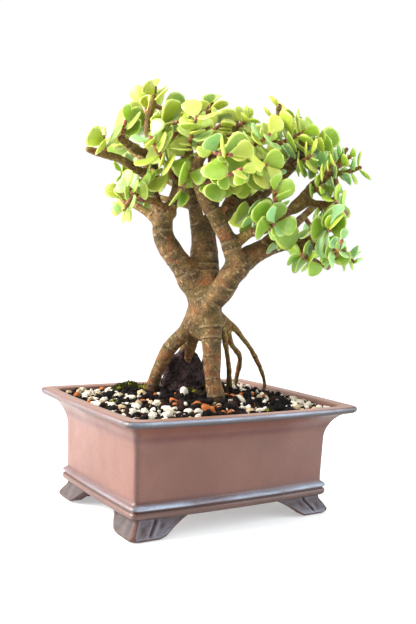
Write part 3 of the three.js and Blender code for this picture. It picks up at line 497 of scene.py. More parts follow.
class Wire:
    """A value that flows from a node's socket, so that shader maths is written as Python."""

    def __init__(self, bench: "Bench", socket: bpy.types.NodeSocket) -> None:
        """Keeps the bench that it belongs to and its socket."""
        self.bench = bench
        self.socket = socket

    def _math(self, operation: str, left: "Wire | float", right: "Wire | float") -> "Wire":
        """One Math node on two values."""
        return self.bench.node("ShaderNodeMath", {"operation": operation}, {0: left, 1: right})

    def __add__(self, other: "Wire | float") -> "Wire":
        """self + other."""
        return self._math("ADD", self, other)

    __radd__ = __add__

    def __sub__(self, other: "Wire | float") -> "Wire":
        """self - other."""
        return self._math("SUBTRACT", self, other)

    def __rsub__(self, other: float) -> "Wire":
        """other - self."""
        return self._math("SUBTRACT", other, self)

    def __mul__(self, other: "Wire | float") -> "Wire":
        """self * other."""
        return self._math("MULTIPLY", self, other)

    __rmul__ = __mul__

    def step(self, low: float, high: float) -> "Wire":
        """0 below low, 1 above high, and a straight rise between."""
        return self.bench.node("ShaderNodeMapRange", {}, {0: self, 1: low, 2: high, 3: 0.0, 4: 1.0})


class Bench:
    """The nodes of one material, ending in a Principled shader."""

    def __init__(self, name: str) -> None:
        """Starts a material with a bare Principled shader."""
        self.material = bpy.data.materials.new(name)
        self.material.use_nodes = True
        self.tree = self.material.node_tree
        self.shader = self.tree.nodes["Principled BSDF"]

    def node(self, kind: str, settings: dict[str, object], inputs: dict[int | str, object],
             output: int | str = 0) -> Wire:
        """Adds a node.

        Args:
            kind: its Blender type.
            settings: its properties.
            inputs: a value or a wire for each named or numbered socket.
            output: which of its sockets to hand back.

        Returns:
            The output socket's wire.
        """
        made = self.tree.nodes.new(kind)
        for key, value in settings.items():
            setattr(made, key, value)
        for key, value in inputs.items():
            self.join(made.inputs[key], value)
        return Wire(self, made.outputs[output])

    def join(self, socket: bpy.types.NodeSocket, value: object) -> None:
        """Links a wire to a socket, or sets the socket to a value."""
        if isinstance(value, Wire):
            self.tree.links.new(value.socket, socket)
        else:
            socket.default_value = value

    def finish(self, **sockets: object) -> bpy.types.Material:
        """Sets the shader's sockets, with _ for a space in their names, and gives the material."""
        for key, value in sockets.items():
            self.join(self.shader.inputs[key.replace("_", " ")], value)
        return self.material

    def place(self) -> Wire:
        """Object coordinates, in metres."""
        return self.node("ShaderNodeTexCoord", {}, {}, "Object")

    def amount(self, key: str) -> Wire:
        """A number that the mesh carries."""
        return self.node("ShaderNodeAttribute", {"attribute_name": key}, {}, "Fac")

    def tint(self, key: str) -> Wire:
        """A colour that the mesh carries."""
        return self.node("ShaderNodeAttribute", {"attribute_name": key}, {}, "Color")

    def noise(self, size: float, detail: float = 3.0, rough: float = 0.6,
              stretch: tuple[float, float, float] = (1, 1, 1)) -> Wire:
        """Noise from 0 to 1 whose largest lumps are about `size` mm wide."""
        where = self.node("ShaderNodeMapping", {}, {"Vector": self.place(), "Scale": stretch})
        inputs = {"Vector": where, "Scale": 1 / (size * MM), "Detail": detail, "Roughness": rough}
        return self.node("ShaderNodeTexNoise", {}, inputs)

    def specks(self, size: float) -> Wire:
        """Distance to the nearest of a scatter of points about `size` mm apart."""
        inputs = {"Vector": self.place(), "Scale": 1 / (size * MM)}
        return self.node("ShaderNodeTexVoronoi", {}, inputs, "Distance")

    def mix(self, share: Wire | float, first: object, second: object, how: str = "MIX") -> Wire:
        """The first colour where the share is 0 and the second where it is 1."""
        colours = [(*c, 1.0) if isinstance(c, tuple) else c for c in (first, second)]
        return self.node("ShaderNodeMix", {"data_type": "RGBA", "blend_type": how},
                         {0: share, 6: colours[0], 7: colours[1]}, 2)

    def coats(self, colour: object, *layers: tuple[Wire, object]) -> Wire:
        """A first colour with others over it, each as dense as its share says."""
        for share, over in layers:
            colour = self.mix(share, colour, over)
        return colour

    def bump(self, height: Wire, depth: float) -> Wire:
        """A normal for relief whose full height is `depth` mm."""
        return self.node("ShaderNodeBump", {}, {"Strength": 1.0, "Distance": depth * MM, "Height": height})


@dataclass(frozen=True)
class Glaze:
    """Satin mauve-brown glaze: mottled, with painted dark red shade under the rim, and slate on the rolls
    under a painted pale blue sheen.
    """

    body: Colour = linear(109, 68, 55)
    deep: Colour = linear(80, 46, 37)
    # painted shade: the dark red of the cove under the flared rim
    cove: Colour = linear(80, 30, 22)
    slate: Colour = linear(58, 54, 57)
    # painted reflection: the pale blue sheen on the lip, the bead and the feet
    bloom: Colour = linear(172, 186, 208)
    # dark colour for the painted shade in creases, for the dark lines up the corners and for stains on the
    # feet
    line: Colour = linear(34, 27, 23)
    foot: Colour = linear(82, 53, 46)
    worn: Colour = linear(128, 92, 76)

    def material(self) -> bpy.types.Material:
        """Builds the finish.

        Returns:
            The material. Its mesh carries the painted shade and dark lines, roll, the painted sheen, the
            painted cove shade, top and foot, each from 0 to 1.
        """
        b = Bench("glaze")
        foot, crease = b.amount("foot"), b.amount("crease")
        clouds = b.noise(34, 3).step(0.36, 0.66)
        fine = b.noise(1.3, 4, 0.7).step(0.32, 0.7)
        grain = b.noise(0.7, 2, 0.7).step(0.3, 0.75)
        streaks = b.noise(9, 4, 0.65, (0.22, 0.22, 1.8)).step(0.38, 0.64)
        colour = b.coats(
            self.body,
            (clouds * 0.4, self.deep),
            (fine * 0.35, self.deep),
            # painted shade in the cove under the rim
            (b.amount("cove") * (0.7 + 0.3 * clouds), self.cove),
            (foot, self.foot),
            (foot * b.noise(4, 4, 0.7).step(0.44, 0.6) * 0.55, self.line),
            (b.amount("top"), self.worn),
            (b.amount("roll") * (0.7 + 0.3 * streaks), self.slate),
            # painted reflection: the pale blue sheen, in streaks
            (b.amount("bloom") * (0.25 + 0.75 * streaks) * (0.5 + 0.4 * grain), self.bloom),
            # painted shade in the grooves, under the lip and in the feet's hollows, and dark lines up the
            # corners
            (crease * (0.6 + 0.35 * fine), self.line))
        rough = 0.34 + 0.14 * clouds + 0.06 * grain + 0.26 * foot
        relief = b.noise(2.4, 4) * 0.7 + 0.3 * b.noise(12, 2)
        return b.finish(Base_Color=colour, Roughness=rough, Normal=b.bump(relief, 0.25),
                        Coat_Weight=0.2 * (1 - foot) * (1 - crease), Coat_Roughness=0.22)


@dataclass(frozen=True)
class Bark:
    """Thin bark: tan and grey-brown on old wood, olive and red-brown where it is younger, rust patches."""

    tan: Colour = linear(150, 114, 69)
    grey: Colour = linear(88, 68, 42)
    olive: Colour = linear(92, 80, 34)
    fresh: Colour = linear(140, 122, 46)
    young: Colour = linear(132, 72, 42)
    rust: Colour = linear(168, 80, 40)
    pale: Colour = linear(214, 186, 136)
    dark: Colour = linear(30, 20, 14)
    cut: Colour = linear(140, 86, 58)

    def material(self) -> bpy.types.Material:
        """Builds the finish.

        Returns:
            The material. Its mesh carries girth in mm, and scar, beside, low, cut and how much darker the
            wood is made close to the soil, from 0 to 1.
        """
        b = Bench("bark")
        scar = b.amount("scar")
        patches = b.noise(10, 5, 0.7).step(0.4, 0.6)
        flecks = b.noise(1.4, 5, 0.75).step(0.42, 0.66)
        old = b.coats(self.tan, (patches, self.grey), (b.noise(12, 4).step(0.46, 0.6) * 0.6, self.olive))
        colour = b.coats(
            self.fresh,
            (b.noise(5, 3).step(0.42, 0.66), self.young),
            (b.amount("girth").step(1.8, 4.6), old),
            (b.noise(11, 4, 0.7).step(0.56, 0.72) * 0.6, self.rust),
            (b.noise(7, 4, 0.7).step(0.48, 0.62) * b.amount("low") * 0.55, self.rust),
            (b.noise(3.2, 4, 0.7).step(0.56, 0.68) * 0.6, self.pale),
            (flecks * 0.6, self.dark),
            (b.amount("beside") * patches * 0.4, self.pale),
            (scar * (0.55 + 0.4 * patches), self.dark),
            # darker low down, close to the soil
            (b.amount("damp") * (0.3 + 0.6 * patches), self.dark),
            (b.amount("cut"), self.cut))
        relief = b.noise(0.9, 5) * 1.4 + 2.0 * b.noise(3.0, 5, 0.75) - 1.2 * scar
        return b.finish(Base_Color=colour, Roughness=0.6 + 0.25 * flecks, Specular_IOR_Level=0.3,
                        Normal=b.bump(relief, 1.5))


@dataclass(frozen=True)
class Foliage:
    """Waxy leaves and stems: each mesh carries its own tint, its pale rim and where it is stem."""

    rim: Colour = linear(214, 214, 116)
    dot: Colour = linear(222, 232, 176)

    def material(self) -> bpy.types.Material:
        """Builds the finish.

        Returns:
            The material. Its mesh carries tint, edge and stem.
        """
        b = Bench("foliage")
        tint = b.tint("tint")
        clouds = b.noise(5, 3).step(0.34, 0.68)
        shade = b.mix(1.0, tint, (0.52, 0.66, 0.34), "MULTIPLY")
        dots = 1 - b.specks(1.1).step(0.06, 0.26)
        colour = b.coats(tint, (clouds * 0.45, shade), (b.amount("edge") * 0.5, self.rim),
                         (dots * 0.16, self.dot))
        rough = 0.36 + 0.12 * clouds + 0.2 * b.amount("stem")
        relief = b.noise(2.2, 3) + 0.25 * dots
        return b.finish(Base_Color=colour, Roughness=rough, Coat_Weight=0.1, Coat_Roughness=0.3,
                        Subsurface_Weight=0.3, Subsurface_Scale=0.002, Subsurface_Radius=(0.7, 1.0, 0.25),
                        Normal=b.bump(relief, 0.16))


@dataclass(frozen=True)
class Grit:
    """Loose mineral: soil bed, pebbles and lava, all mottled and pitted to a depth in mm."""

    name: str
    first: Colour | None
    second: Colour
    lump: float
    depth: float
    rough: float = 0.9

    def material(self) -> bpy.types.Material:
        """Builds the finish. With no first colour, the mesh carries tint and the second one shades it."""
        b = Bench(self.name)
        first = b.tint("tint") if self.first is None else self.first
        mottle = b.noise(self.lump, 5, 0.7).step(0.36, 0.68)
        colour = b.mix(mottle * 0.9, first, self.second, "MULTIPLY" if self.first is None else "MIX")
        pits = b.specks(self.lump * 0.55).step(0.0, 0.55)
        relief = pits + b.noise(self.lump * 0.4, 5, 0.7)
        return b.finish(Base_Color=colour, Roughness=self.rough, Specular_IOR_Level=0.15,
                        Normal=b.bump(relief, self.depth))


@dataclass(frozen=True)
class Plain:
    """A nearly even finish with a fine grain, for moulded plastic and the studio's paper."""

    name: str
    colour: Colour
    rough: float
    grain: float
    glow: float = 0.0

    def material(self) -> bpy.types.Material:
        """Builds the finish, which shines evenly by `glow` of a white light of its own."""
        b = Bench(self.name)
        fine = b.noise(self.grain, 3)
        colour = b.mix(fine * 0.1, self.colour, tuple(0.8 * c for c in self.colour))
        return b.finish(Base_Color=colour, Roughness=self.rough, Normal=b.bump(fine, 0.05),
                        Emission_Color=(1.0, 1.0, 1.0, 1.0), Emission_Strength=self.glow)


# pot


# What the pot's skin carries: painted shade in creases and dark lines up the corners, slate rolls, a
# painted pale blue sheen on them, painted dark red shade in the cove under the rim, and the worn top.
MARKS = ("crease", "roll", "bloom", "cove", "top")
PLAIN_ROW = [0.0] * len(MARKS)
# Bands round the foot of the wall, from below: height, how far out from the body, and the marks; the first
# mark paints shade in the grooves by the bead and along the bottom, the third a pale blue sheen on the
# bead.
BASE_BANDS: list[list[float]] = [
    [12, -0.8, 0.8, 0, 0, 0, 0], [12.25, 0.9, 0.6, 0, 0, 0, 0], [12.8, 1.9, 0.4, 0.5, 0, 0, 0],
    [13.8, 2.35, 0.3, 0.45, 0, 0, 0], [15, 2.45, 0.25, 0.35, 0, 0, 0], [15.9, 2.2, 0.5, 0.2, 0, 0, 0],
    [16.5, 1.5, 0.8, 0, 0, 0, 0], [16.9, 0.9, 1, 0, 0, 0, 0], [17.3, 1.5, 0.8, 0, 0, 0, 0],
    [17.8, 2.25, 0, 0.6, 0.5, 0, 0], [18.5, 2.55, 0, 0.9, 1, 0, 0], [19.2, 2.3, 0, 0.9, 1, 0, 0],
    [19.9, 1.4, 0, 0.7, 0.9, 0, 0], [20.5, 0.5, 0.3, 0.4, 0.4, 0, 0], [21.2, 0.12, 0.5, 0, 0, 0.5, 0],
    [23.5, 0.1, 0, 0, 0, 0.1, 0],
]
# The rolled lip, from below: height, how far in from the rim's edge, and the marks; the first mark paints
# shade under the lip, outside and in, the third a pale blue sheen on its upper roll.
LIP: list[list[float]] = [
    [67.2, 2, 1, 0, 0, 0, 0], [67.6, 1, 0.7, 0.6, 0, 0, 0], [68.3, 0.35, 0.6, 1, 0, 0, 0],
    [69.3, 0, 0.3, 1, 0.2, 0, 0], [70.2, 0.05, 0, 1, 0.95, 0, 0], [70.9, 0.45, 0, 0.9, 0.8, 0, 0],
    [71.3, 1.1, 0, 0.3, 0, 0, 0.6], [71.42, 2, 0, 0, 0, 0, 1], [71.4, 4.5, 0, 0, 0, 0, 1],
    [71.3, 7.3, 0, 0, 0, 0, 1], [70.9, 8.7, 0.2, 0, 0, 0, 0.8], [70.1, 9.4, 0.4, 0, 0, 0, 0.5],
]
# A foot, from the sole up: height, both brackets' lengths, how far out it stands and its corner's radius.
FOOT: list[list[float]] = [
    [0, 16.5, 14.5, 1.6, 5], [0.8, 19, 17.5, 2.9, 4.4], [2.8, 23, 22.5, 3.6, 3.2],
    [6, 26.5, 25, 1.8, 2.8], [9.2, 31, 26.5, -0.4, 2.6], [12.6, 37, 31, -0.8, 2.6],
]


class Side(Enum):
    """The pot's long and short sides, with how far each bows outward."""

    LONG = 3.0
    SHORT = 1.5


@dataclass
class Pot:
    """The glazed pot: bowed walls, flared rim with a rolled lip, a bead above the base, four feet."""

    rim_x: float = 82.5
    rim_y: float = 68.0
    face: float = 9.5
    body_x: float = 68.1
    body_y: float = 50.2
    corner: float = 4.0
    lip_corner: float = 6.8
    bottom: float = 12.0
    floor: float = 19.0
    wall: float = 6.1
    wall_start: float = 20.6
    flare_start: float = 48.0
    flare_end: float = 68.0
    flare_bend: float = 0.94
    flare_x: float = 11.9
    flare_y: float = 16.0
    swell_x: float = 1.0
    swell_y: float = 0.3
    # height of the middle of the painted shade band under the rim
    cove: float = 57.6
    drain_apart: float = 34.0
    drain_radius: float = 7.0
    foot_depth: float = 9.0
    groove_at: float = 12.6
    arc_steps: int = 6
    side_steps: int = 22
    foot_levels: int = 44
    foot_steps: int = 44
    foot_bends: int = 7
    drill_sides: int = 32

    def flare(self, z: Array | float) -> tuple[Array, Array]:
        """Half sizes of the wall at a height.

        It leans out by 1 - sqrt(1 - bend t^2), as a share of the full flare, t being the share of the
        way from the flare's start to its end.
        """
        t = np.clip((np.asarray(z, float) - self.flare_start) / (self.flare_end - self.flare_start), 0, 1)
        reach = (1 - np.sqrt(1 - self.flare_bend * t * t)) / (1 - math.sqrt(1 - self.flare_bend))
        return (self.body_x + self.swell_x + self.flare_x * reach,
                self.body_y + self.swell_y + self.flare_y * reach)

    def rings(self, rows: Array) -> Array:
        """Rounded rectangles with bowed sides.

        Four arcs of the corner radius stand at the corners, and between them each side is out =
        half size + bow (1 - s^2), where s runs from 1 to -1 along the side.

        Args:
            rows: height, half size in X, half size in Y, corner radius and share of the bow.

        Returns:
            Rings of points: rows x count x 3.
        """
        z, half_x, half_y, corner, bow = (column[:, None] for column in rows.T)
        quarter = math.pi / 2
        parts = []
        for side, (sign_x, sign_y) in enumerate(((1, 1), (-1, 1), (-1, -1), (1, -1))):
            turn = side * quarter
            angle = turn + np.linspace(0, quarter, self.arc_steps + 1)
            parts.append((sign_x * (half_x - corner) + corner * np.cos(angle),
                          sign_y * (half_y - corner) + corner * np.sin(angle)))
            s = 1 - 2 * np.arange(1, self.side_steps) / self.side_steps
            long = side % 2 == 0
            half = (half_x if long else half_y) - corner
            depth = Side.LONG.value if long else Side.SHORT.value
            out = (half_y if long else half_x) + depth * bow * (1 - s * s)
            c, sn = round(math.cos(turn)), round(math.sin(turn))
            parts.append((c * half * s - sn * out, sn * half * s + c * out))
        x = np.concatenate([part[0] for part in parts], 1)
        y = np.concatenate([part[1] for part in parts], 1)
        return np.stack([x, y, np.broadcast_to(z, x.shape)], -1)

    def inside_row(self, z: float, clearance: float) -> list[float]:
        """The row of the pot's inside at a height, less a clearance."""
        x, y = (min(float(outer) - self.wall, rim - self.face)
                for outer, rim in zip(self.flare(z), (self.rim_x, self.rim_y)))
        return [z, x - clearance, y - clearance, self.corner, 1.0]

    def shell_rows(self) -> tuple[Array, dict[str, Array]]:
        """Rows of the pot's skin from the middle of its base, up the outside and down the inside.

        Returns:
            The rows, and each mark's amount on every row.
        """
        rows = [[self.bottom, self.body_x * share, self.body_y * share, self.corner, share, *PLAIN_ROW]
                for share in (0.35, 0.7, 0.93)]
        rows += [[z, self.body_x + out, self.body_y + out, self.corner, 0.7, *marks]
                 for z, out, *marks in BASE_BANDS]
        for z in np.linspace(27, 46, 6):
            share = (z - self.wall_start) / (self.flare_start - self.wall_start)
            x, y = self.body_x + self.swell_x * share, self.body_y + self.swell_y * share
            rows.append([z, x, y, self.corner, 0.7 + 0.3 * share, *PLAIN_ROW])
        for z in np.linspace(48, 66, 13):
            # painted shade: a dark red band round the cove under the flared rim, and a little of it all the
            # way up to the lip
            under_rim_shade = 0.85 * math.exp(-((z - self.cove) / 2.0) ** 2) + 0.25 * (z > 58)
            rows.append([z, *self.flare(z), self.corner + max(0.0, z - 58) / 5, 1, 0, 0, 0, under_rim_shade, 0])
        x, y = self.flare(66.9)
        # painted shade where the flare tucks under the lip
        rows.append([66.9, x - 0.2, y - 0.2, 6, 1, 0.6, 0, 0, 0.5, 0])
        rows += [[z, self.rim_x - out, self.rim_y - out, self.lip_corner, 1, *marks]
                 for z, out, *marks in LIP]
        rows += [[*self.inside_row(z, 0), *PLAIN_ROW] for z in (69, 66, 62, 58, 54, 48, 38, 28, 21)]
        low = self.inside_row(self.floor + 0.4, 0.5)
        rows.append([*low, *PLAIN_ROW])
        rows += [[self.floor, low[1] * share, low[2] * share, self.corner, share, *PLAIN_ROW]
                 for share in (0.9, 0.6, 0.3)]
        table = np.array(rows, float)
        return table[:, :5], dict(zip(MARKS, table[:, 5:].T))

    def corner_ridge(self, rings: Array) -> Array:
        """Where the dark line up each corner is: sin^3 over the corner's arc, on the outer wall only."""
        arc = np.sin(np.linspace(0, math.pi, self.arc_steps + 1)) ** 3
        around = np.tile(np.concatenate([arc, np.zeros(self.side_steps - 1)]), 4)
        heights = rings[:, 0, 2]
        wall = (heights > 13) & (np.arange(len(rings)) < np.argmax(heights))
        return (around * wall[:, None]).ravel()

    def shell(self) -> Skin:
        """The pot without its feet, closed at the middle of its base and of its floor.

        Returns:
            The skin, with every mark on it.
        """
        rows, marks = self.shell_rows()
        rings = self.rings(rows)
        points, faces = closed_net(rings, [0, 0, self.bottom], [0, 0, self.floor])
        amounts = {key: np.append(np.repeat(values, rings.shape[1]), [0, 0])
                   for key, values in marks.items()}
        # the dark lines up the corners and round the lip's corners share one mark with the painted shade
        ridge = 0.8 * np.append(self.corner_ridge(rings), [0, 0])
        corner_gap = np.hypot(self.rim_x - np.abs(points[:, 0]), self.rim_y - np.abs(points[:, 1]))
        lip = (points[:, 2] > 66.5) & (points[:, 2] < 71.35)
        lip_corner = np.exp(-(corner_gap / 10) ** 2) * lip
        amounts["crease"] = np.max([amounts["crease"], ridge, lip_corner], axis=0)
        gap_x, gap_y = (rows[:, axis + 1, None] - np.abs(rings[:, :, axis]) for axis in (0, 1))
        on_short = np.append(np.clip((gap_y - gap_x) / 3, 0, 1).ravel(), [0, 0])
        # less slate and less of the painted sheen on the short sides
        amounts["roll"] *= 1 - 0.5 * on_short
        amounts["bloom"] *= 1 - 0.75 * on_short
        amounts["foot"] = np.clip((13.2 - points[:, 2]) / 1.2, 0, 1) * 0.6
        return Skin(points, faces, amounts=amounts)

    def foot(self, sign_x: int, sign_y: int) -> Skin:
        """One corner foot: a bracket along each side, splayed out over a rounded sole.

        In plan each level is an L: the outer faces run from the ends of both brackets to an arc at
        the corner, and behind them lies the inner corner. Modelled relief is cut into both faces.

        Args:
            sign_x: which end of the pot.
            sign_y: which side of the pot.

        Returns:
            The foot's closed skin.
        """
        levels, steps, bends = self.foot_levels, self.foot_steps, self.foot_bends
        table = smooth_curve(np.array(FOOT, float), np.linspace(0, 1, levels))
        z, arm_x, arm_y, out, bend = table.T[:, :, None]
        x, y = self.body_x + out, self.body_y + out
        arc = np.linspace(0, math.pi / 2, bends + 2)[1:-1]
        share = np.linspace(0, 1, steps + 1)
        short_y, long_x = y - arm_y + (arm_y - bend) * share, x - bend - (arm_x - bend) * share
        ring_x = np.concatenate([x + 0 * short_y, x - bend + bend * np.cos(arc), long_x,
                                 x - arm_x, x - self.foot_depth, x - self.foot_depth], 1)
        ring_y = np.concatenate([short_y, y - bend + bend * np.sin(arc), y + 0 * long_x,
                                 y - self.foot_depth, y - self.foot_depth, y - arm_y], 1)
        rings = np.stack([ring_x, ring_y, z + 0 * ring_x], -1)
        cut = np.zeros(ring_x.shape)
        short_face, long_face = slice(0, steps + 1), slice(steps + 1 + bends, 2 * steps + 2 + bends)
        cut[:, short_face] = self.short_relief(y - short_y, z, arm_y)
        cut[:, long_face] = self.long_relief(x - long_x, z, arm_x)
        long_only, on_short = np.zeros(ring_x.shape), np.zeros(ring_x.shape)
        on_short[:, short_face] = 1
        long_only[:, long_face] = cut[:, long_face] != 0
        rings[:, short_face, 0] -= cut[:, short_face]
        rings[:, long_face, 1] -= cut[:, long_face]
        count = rings.shape[1]
        inner = count - 2
        ring = np.arange(count)
        spokes = (ring != inner) & (ring != inner - 1)
        fan = np.stack([np.full(count, inner), (ring + 1) % count, ring], -1)[spokes]
        faces = np.concatenate([fan, fan[:, ::-1] + (levels - 1) * count]).tolist()
        faces += band_faces(levels, count).tolist()
        if sign_x * sign_y < 0:
            faces = [face[::-1] for face in faces]
        points = rings.reshape(-1, 3) * [sign_x, sign_y, 1]
        depth, on_short, on_long = (part.ravel() for part in (cut, on_short, long_only))
        under_band = np.clip((points[:, 2] - 10.4) / 1.4, 0, 1)
        zero = np.zeros(len(points))
        return Skin(points, faces, amounts={
            # painted shade in the relief's hollows and under the base band; the short face is made darker
            # all over
            "crease": np.maximum(np.clip(depth - 0.35, 0, 1) * 0.6 + 0.55 * on_short, 0.8 * under_band),
            # on the foot's long face the slate and the painted sheen fade in the hollows; a little of both
            # on the short face
            "roll": np.clip(0.4 - depth * 0.2, 0, 1) * on_long + 0.2 * on_short,
            "bloom": np.clip(0.5 - depth * 0.35, 0, 1) * on_long + 0.07 * on_short,
            "cove": zero, "top": zero, "foot": zero + 1})

    def panel(self, inward: Array, z: Array, arm: Array) -> Array:
        """How far inside a foot face's raised edge a place is, from 0 on the edge to 1 in the panel."""
        inside = [(arm - inward - 1.4) / 2.0, (inward - 2.2) / 2.0, (z - 1.6) / 2.2, (12.2 - z) / 1.6]
        share = np.prod([np.clip(part, 0, 1) for part in np.broadcast_arrays(*inside)], axis=0)
        return share * share * (3 - 2 * share)

    def long_relief(self, inward: Array, z: Array, arm: Array) -> Array:
        """Depth cut into the foot's face on the pot's long side.

        A sunk panel with a groove between two ridges, and three dimples:
        depth = panel (0.6 + 1.1 exp(-(gap / 0.8)^2) - 0.55 exp(-((gap - 2.1) / 0.9)^2) + dimples).

        Args:
            inward: distance from the corner along the face.
            z: height.
            arm: the bracket's length at that height.

        Returns:
            Depths.
        """
        gap = np.abs(inward - self.groove_at - 0.16 * (z - 5))
        groove = 1.1 * np.exp(-(gap / 0.8) ** 2) - 0.55 * np.exp(-((gap - 2.1) / 0.9) ** 2)
        dimples = sum(deep * np.exp(-(((inward - across) / 1.5) ** 2 + ((z - high) / 1.7) ** 2))
                      for across, high, deep in ((6.8, 6.0, 0.7), (18.4, 7.4, 0.6), (8.6, 3.4, 0.4)))
        return self.panel(inward, z, arm) * (0.6 + groove + dimples)

    def short_relief(self, inward: Array, z: Array, arm: Array) -> Array:
        """Depth cut into the foot's face on the short side: slanting folds in a sunk panel.

        depth = panel (0.6 + 0.3 sin(0.62 inward + 0.5 z)). See long_relief for the arguments.
        """
        return self.panel(inward, z, arm) * (0.6 + 0.3 * np.sin(0.62 * inward + 0.5 * z))

    def build(self, glaze: bpy.types.Material) -> None:
        """Adds the pot, with its drain holes cut, and its four feet in the same skin."""
        shell = self.cut_drains(self.shell())
        feet = [self.foot(sx, sy) for sx in (1, -1) for sy in (1, -1)]
        add_piece("glazed_pot", join_skins([shell, *feet]), glaze, "glazed_pot", "pot")

    def cut_drains(self, skin: Skin) -> Skin:
        """The shell less two round bars, which leaves a drain hole's wall through its floor at each.

        Args:
            skin: the closed shell.

        Returns:
            The pierced shell.
        """
        shell = self.outward_body("shell", skin)
        drills = [self.drill(x) for x in (-self.drain_apart, self.drain_apart)]
        for drill in drills:
            cut = shell.modifiers.new("drain", "BOOLEAN")
            cut.operation, cut.object, cut.solver = "DIFFERENCE", drill, "EXACT"
        ready = shell.evaluated_get(bpy.context.evaluated_depsgraph_get()).to_mesh()
        points = np.empty(len(ready.vertices) * 3)
        ready.vertices.foreach_get("co", points)
        faces = [list(polygon.vertices) for polygon in ready.polygons]
        amounts = {}
        for key in skin.amounts:
            values = np.zeros(len(ready.vertices), np.float32)
            if key in ready.attributes:
                ready.attributes[key].data.foreach_get("value", values)
            amounts[key] = values.astype(float)
        for thing in (shell, *drills):
            bpy.data.objects.remove(thing)
        return Skin(points.reshape(-1, 3), faces, amounts=amounts)

    def drill(self, x: float) -> bpy.types.Object:
        """A closed round bar that stands where a drain hole goes."""
        path = np.array([[x, 0, self.bottom - 4], [x, 0, self.floor + 4]])
        rings = tube_rings(path, np.full(2, self.drain_radius), self.drill_sides)
        return self.outward_body("drill", Skin(*closed_net(rings, *path)))

    def outward_body(self, name: str, skin: Skin) -> bpy.types.Object:
        """An object of a skin in millimetres, with all its faces turned outward."""
        mesh = bpy.data.meshes.new(name)
        mesh.from_pydata(skin.points.tolist(), [], skin.faces)
        carry_amounts(mesh, skin.amounts)
        made = bmesh.new()
        made.from_mesh(mesh)
        bmesh.ops.recalc_face_normals(made, faces=made.faces)
        made.to_mesh(mesh)
        made.free()
        return set_out(name, mesh)


@dataclass
class DrainScreen:
    """A square of moulded mesh over a drain hole."""

    x: float
    name: str
    side: float = 22.0
    low: float = 19.3
    thick: float = 1.0
    holes: int = 9
    bar: float = 0.8

    def build(self, plastic: bpy.types.Material) -> None:
        """Adds the screen.

        Each cell of a plan grid that lies on a bar gets a top and a bottom, and a wall at each hole.
        """
        bars = np.arange(self.holes + 1) * (self.side - self.bar) / self.holes
        edges = np.sort(np.concatenate([bars, bars + self.bar]))
        solid_row = np.arange(len(edges) - 1) % 2 == 0
        solid = solid_row[:, None] | solid_row[None, :]
        n = len(edges)
        top = n * n
        across, deep = np.meshgrid(edges - self.side / 2 + self.x, edges - self.side / 2, indexing="ij")
        points = np.concatenate([np.stack([across.ravel(), deep.ravel(), np.full(top, z)], -1)
                                 for z in (self.low, self.low + self.thick)])
        i, j = np.nonzero(solid)
        a, b, c, d = i * n + j, (i + 1) * n + j, (i + 1) * n + j + 1, i * n + j + 1
        faces = [np.stack([a, b, c, d], -1) + top, np.stack([d, c, b, a], -1)]
        ring = np.pad(solid, 1)
        for di, dj, first, second in ((-1, 0, d, a), (1, 0, b, c), (0, -1, a, b), (0, 1, c, d)):
            bare = ~ring[i + 1 + di, j + 1 + dj]
            p, q = first[bare], second[bare]
            faces.append(np.stack([p, q, q + top, p + top], -1))
        skin = Skin(points, np.concatenate(faces).tolist(), smooth=False)
        add_piece(self.name + "_mesh", skin, plastic, "screen_plastic", self.name)


# soil, stone and moss


def turns(count: int, rng: np.random.Generator) -> Array:
    """Turning matrices of evenly random unit quaternions (w, x, y, z)."""
    w, x, y, z = unit(rng.normal(size=(count, 4))).T
    return np.stack([
        1 - 2 * (y * y + z * z), 2 * (x * y - z * w), 2 * (x * z + y * w),
        2 * (x * y + z * w), 1 - 2 * (x * x + z * z), 2 * (y * z - x * w),
        2 * (x * z - y * w), 2 * (y * z + x * w), 1 - 2 * (x * x + y * y)], -1).reshape(-1, 3, 3)


def scatter(template: tuple[Array, Array], middles: Array, sizes: Array, tints: Array, seed: int,
            rough: float) -> Skin:
    """Copies of a small closed shape, each turned, stretched and dented its own way.

    Each copy is middle + turn (size (1 + rough noise) stretch point).

    Args:
        template: points on a unit ball and faces.
        middles: one place per copy.
        sizes: one radius per copy.
        tints: one colour per copy.
        seed: seeds the turns, stretches and dents.
        rough: how deep the dents are, as a share of the size.

    Returns:
        All copies in one skin, with their tints.
    """
    rng = np.random.default_rng(seed)
    base, faces = template
    count, corners = len(middles), len(base)
    dents = 1 + rough * rng.uniform(-1, 1, (count, corners, 1))
    stretch = rng.uniform([0.85, 0.65, 0.55], [1.6, 1.0, 0.9], (count, 3))[:, None]
    local = base * dents * stretch * sizes[:, None, None]
    points = np.einsum("nij,nkj->nki", turns(count, rng), local) + middles[:, None]
    all_faces = (faces[None] + (np.arange(count) * corners)[:, None, None]).reshape(-1, faces.shape[1])
    return Skin(points.reshape(-1, 3), all_faces.tolist(), {"tint": np.repeat(tints, corners, 0)})


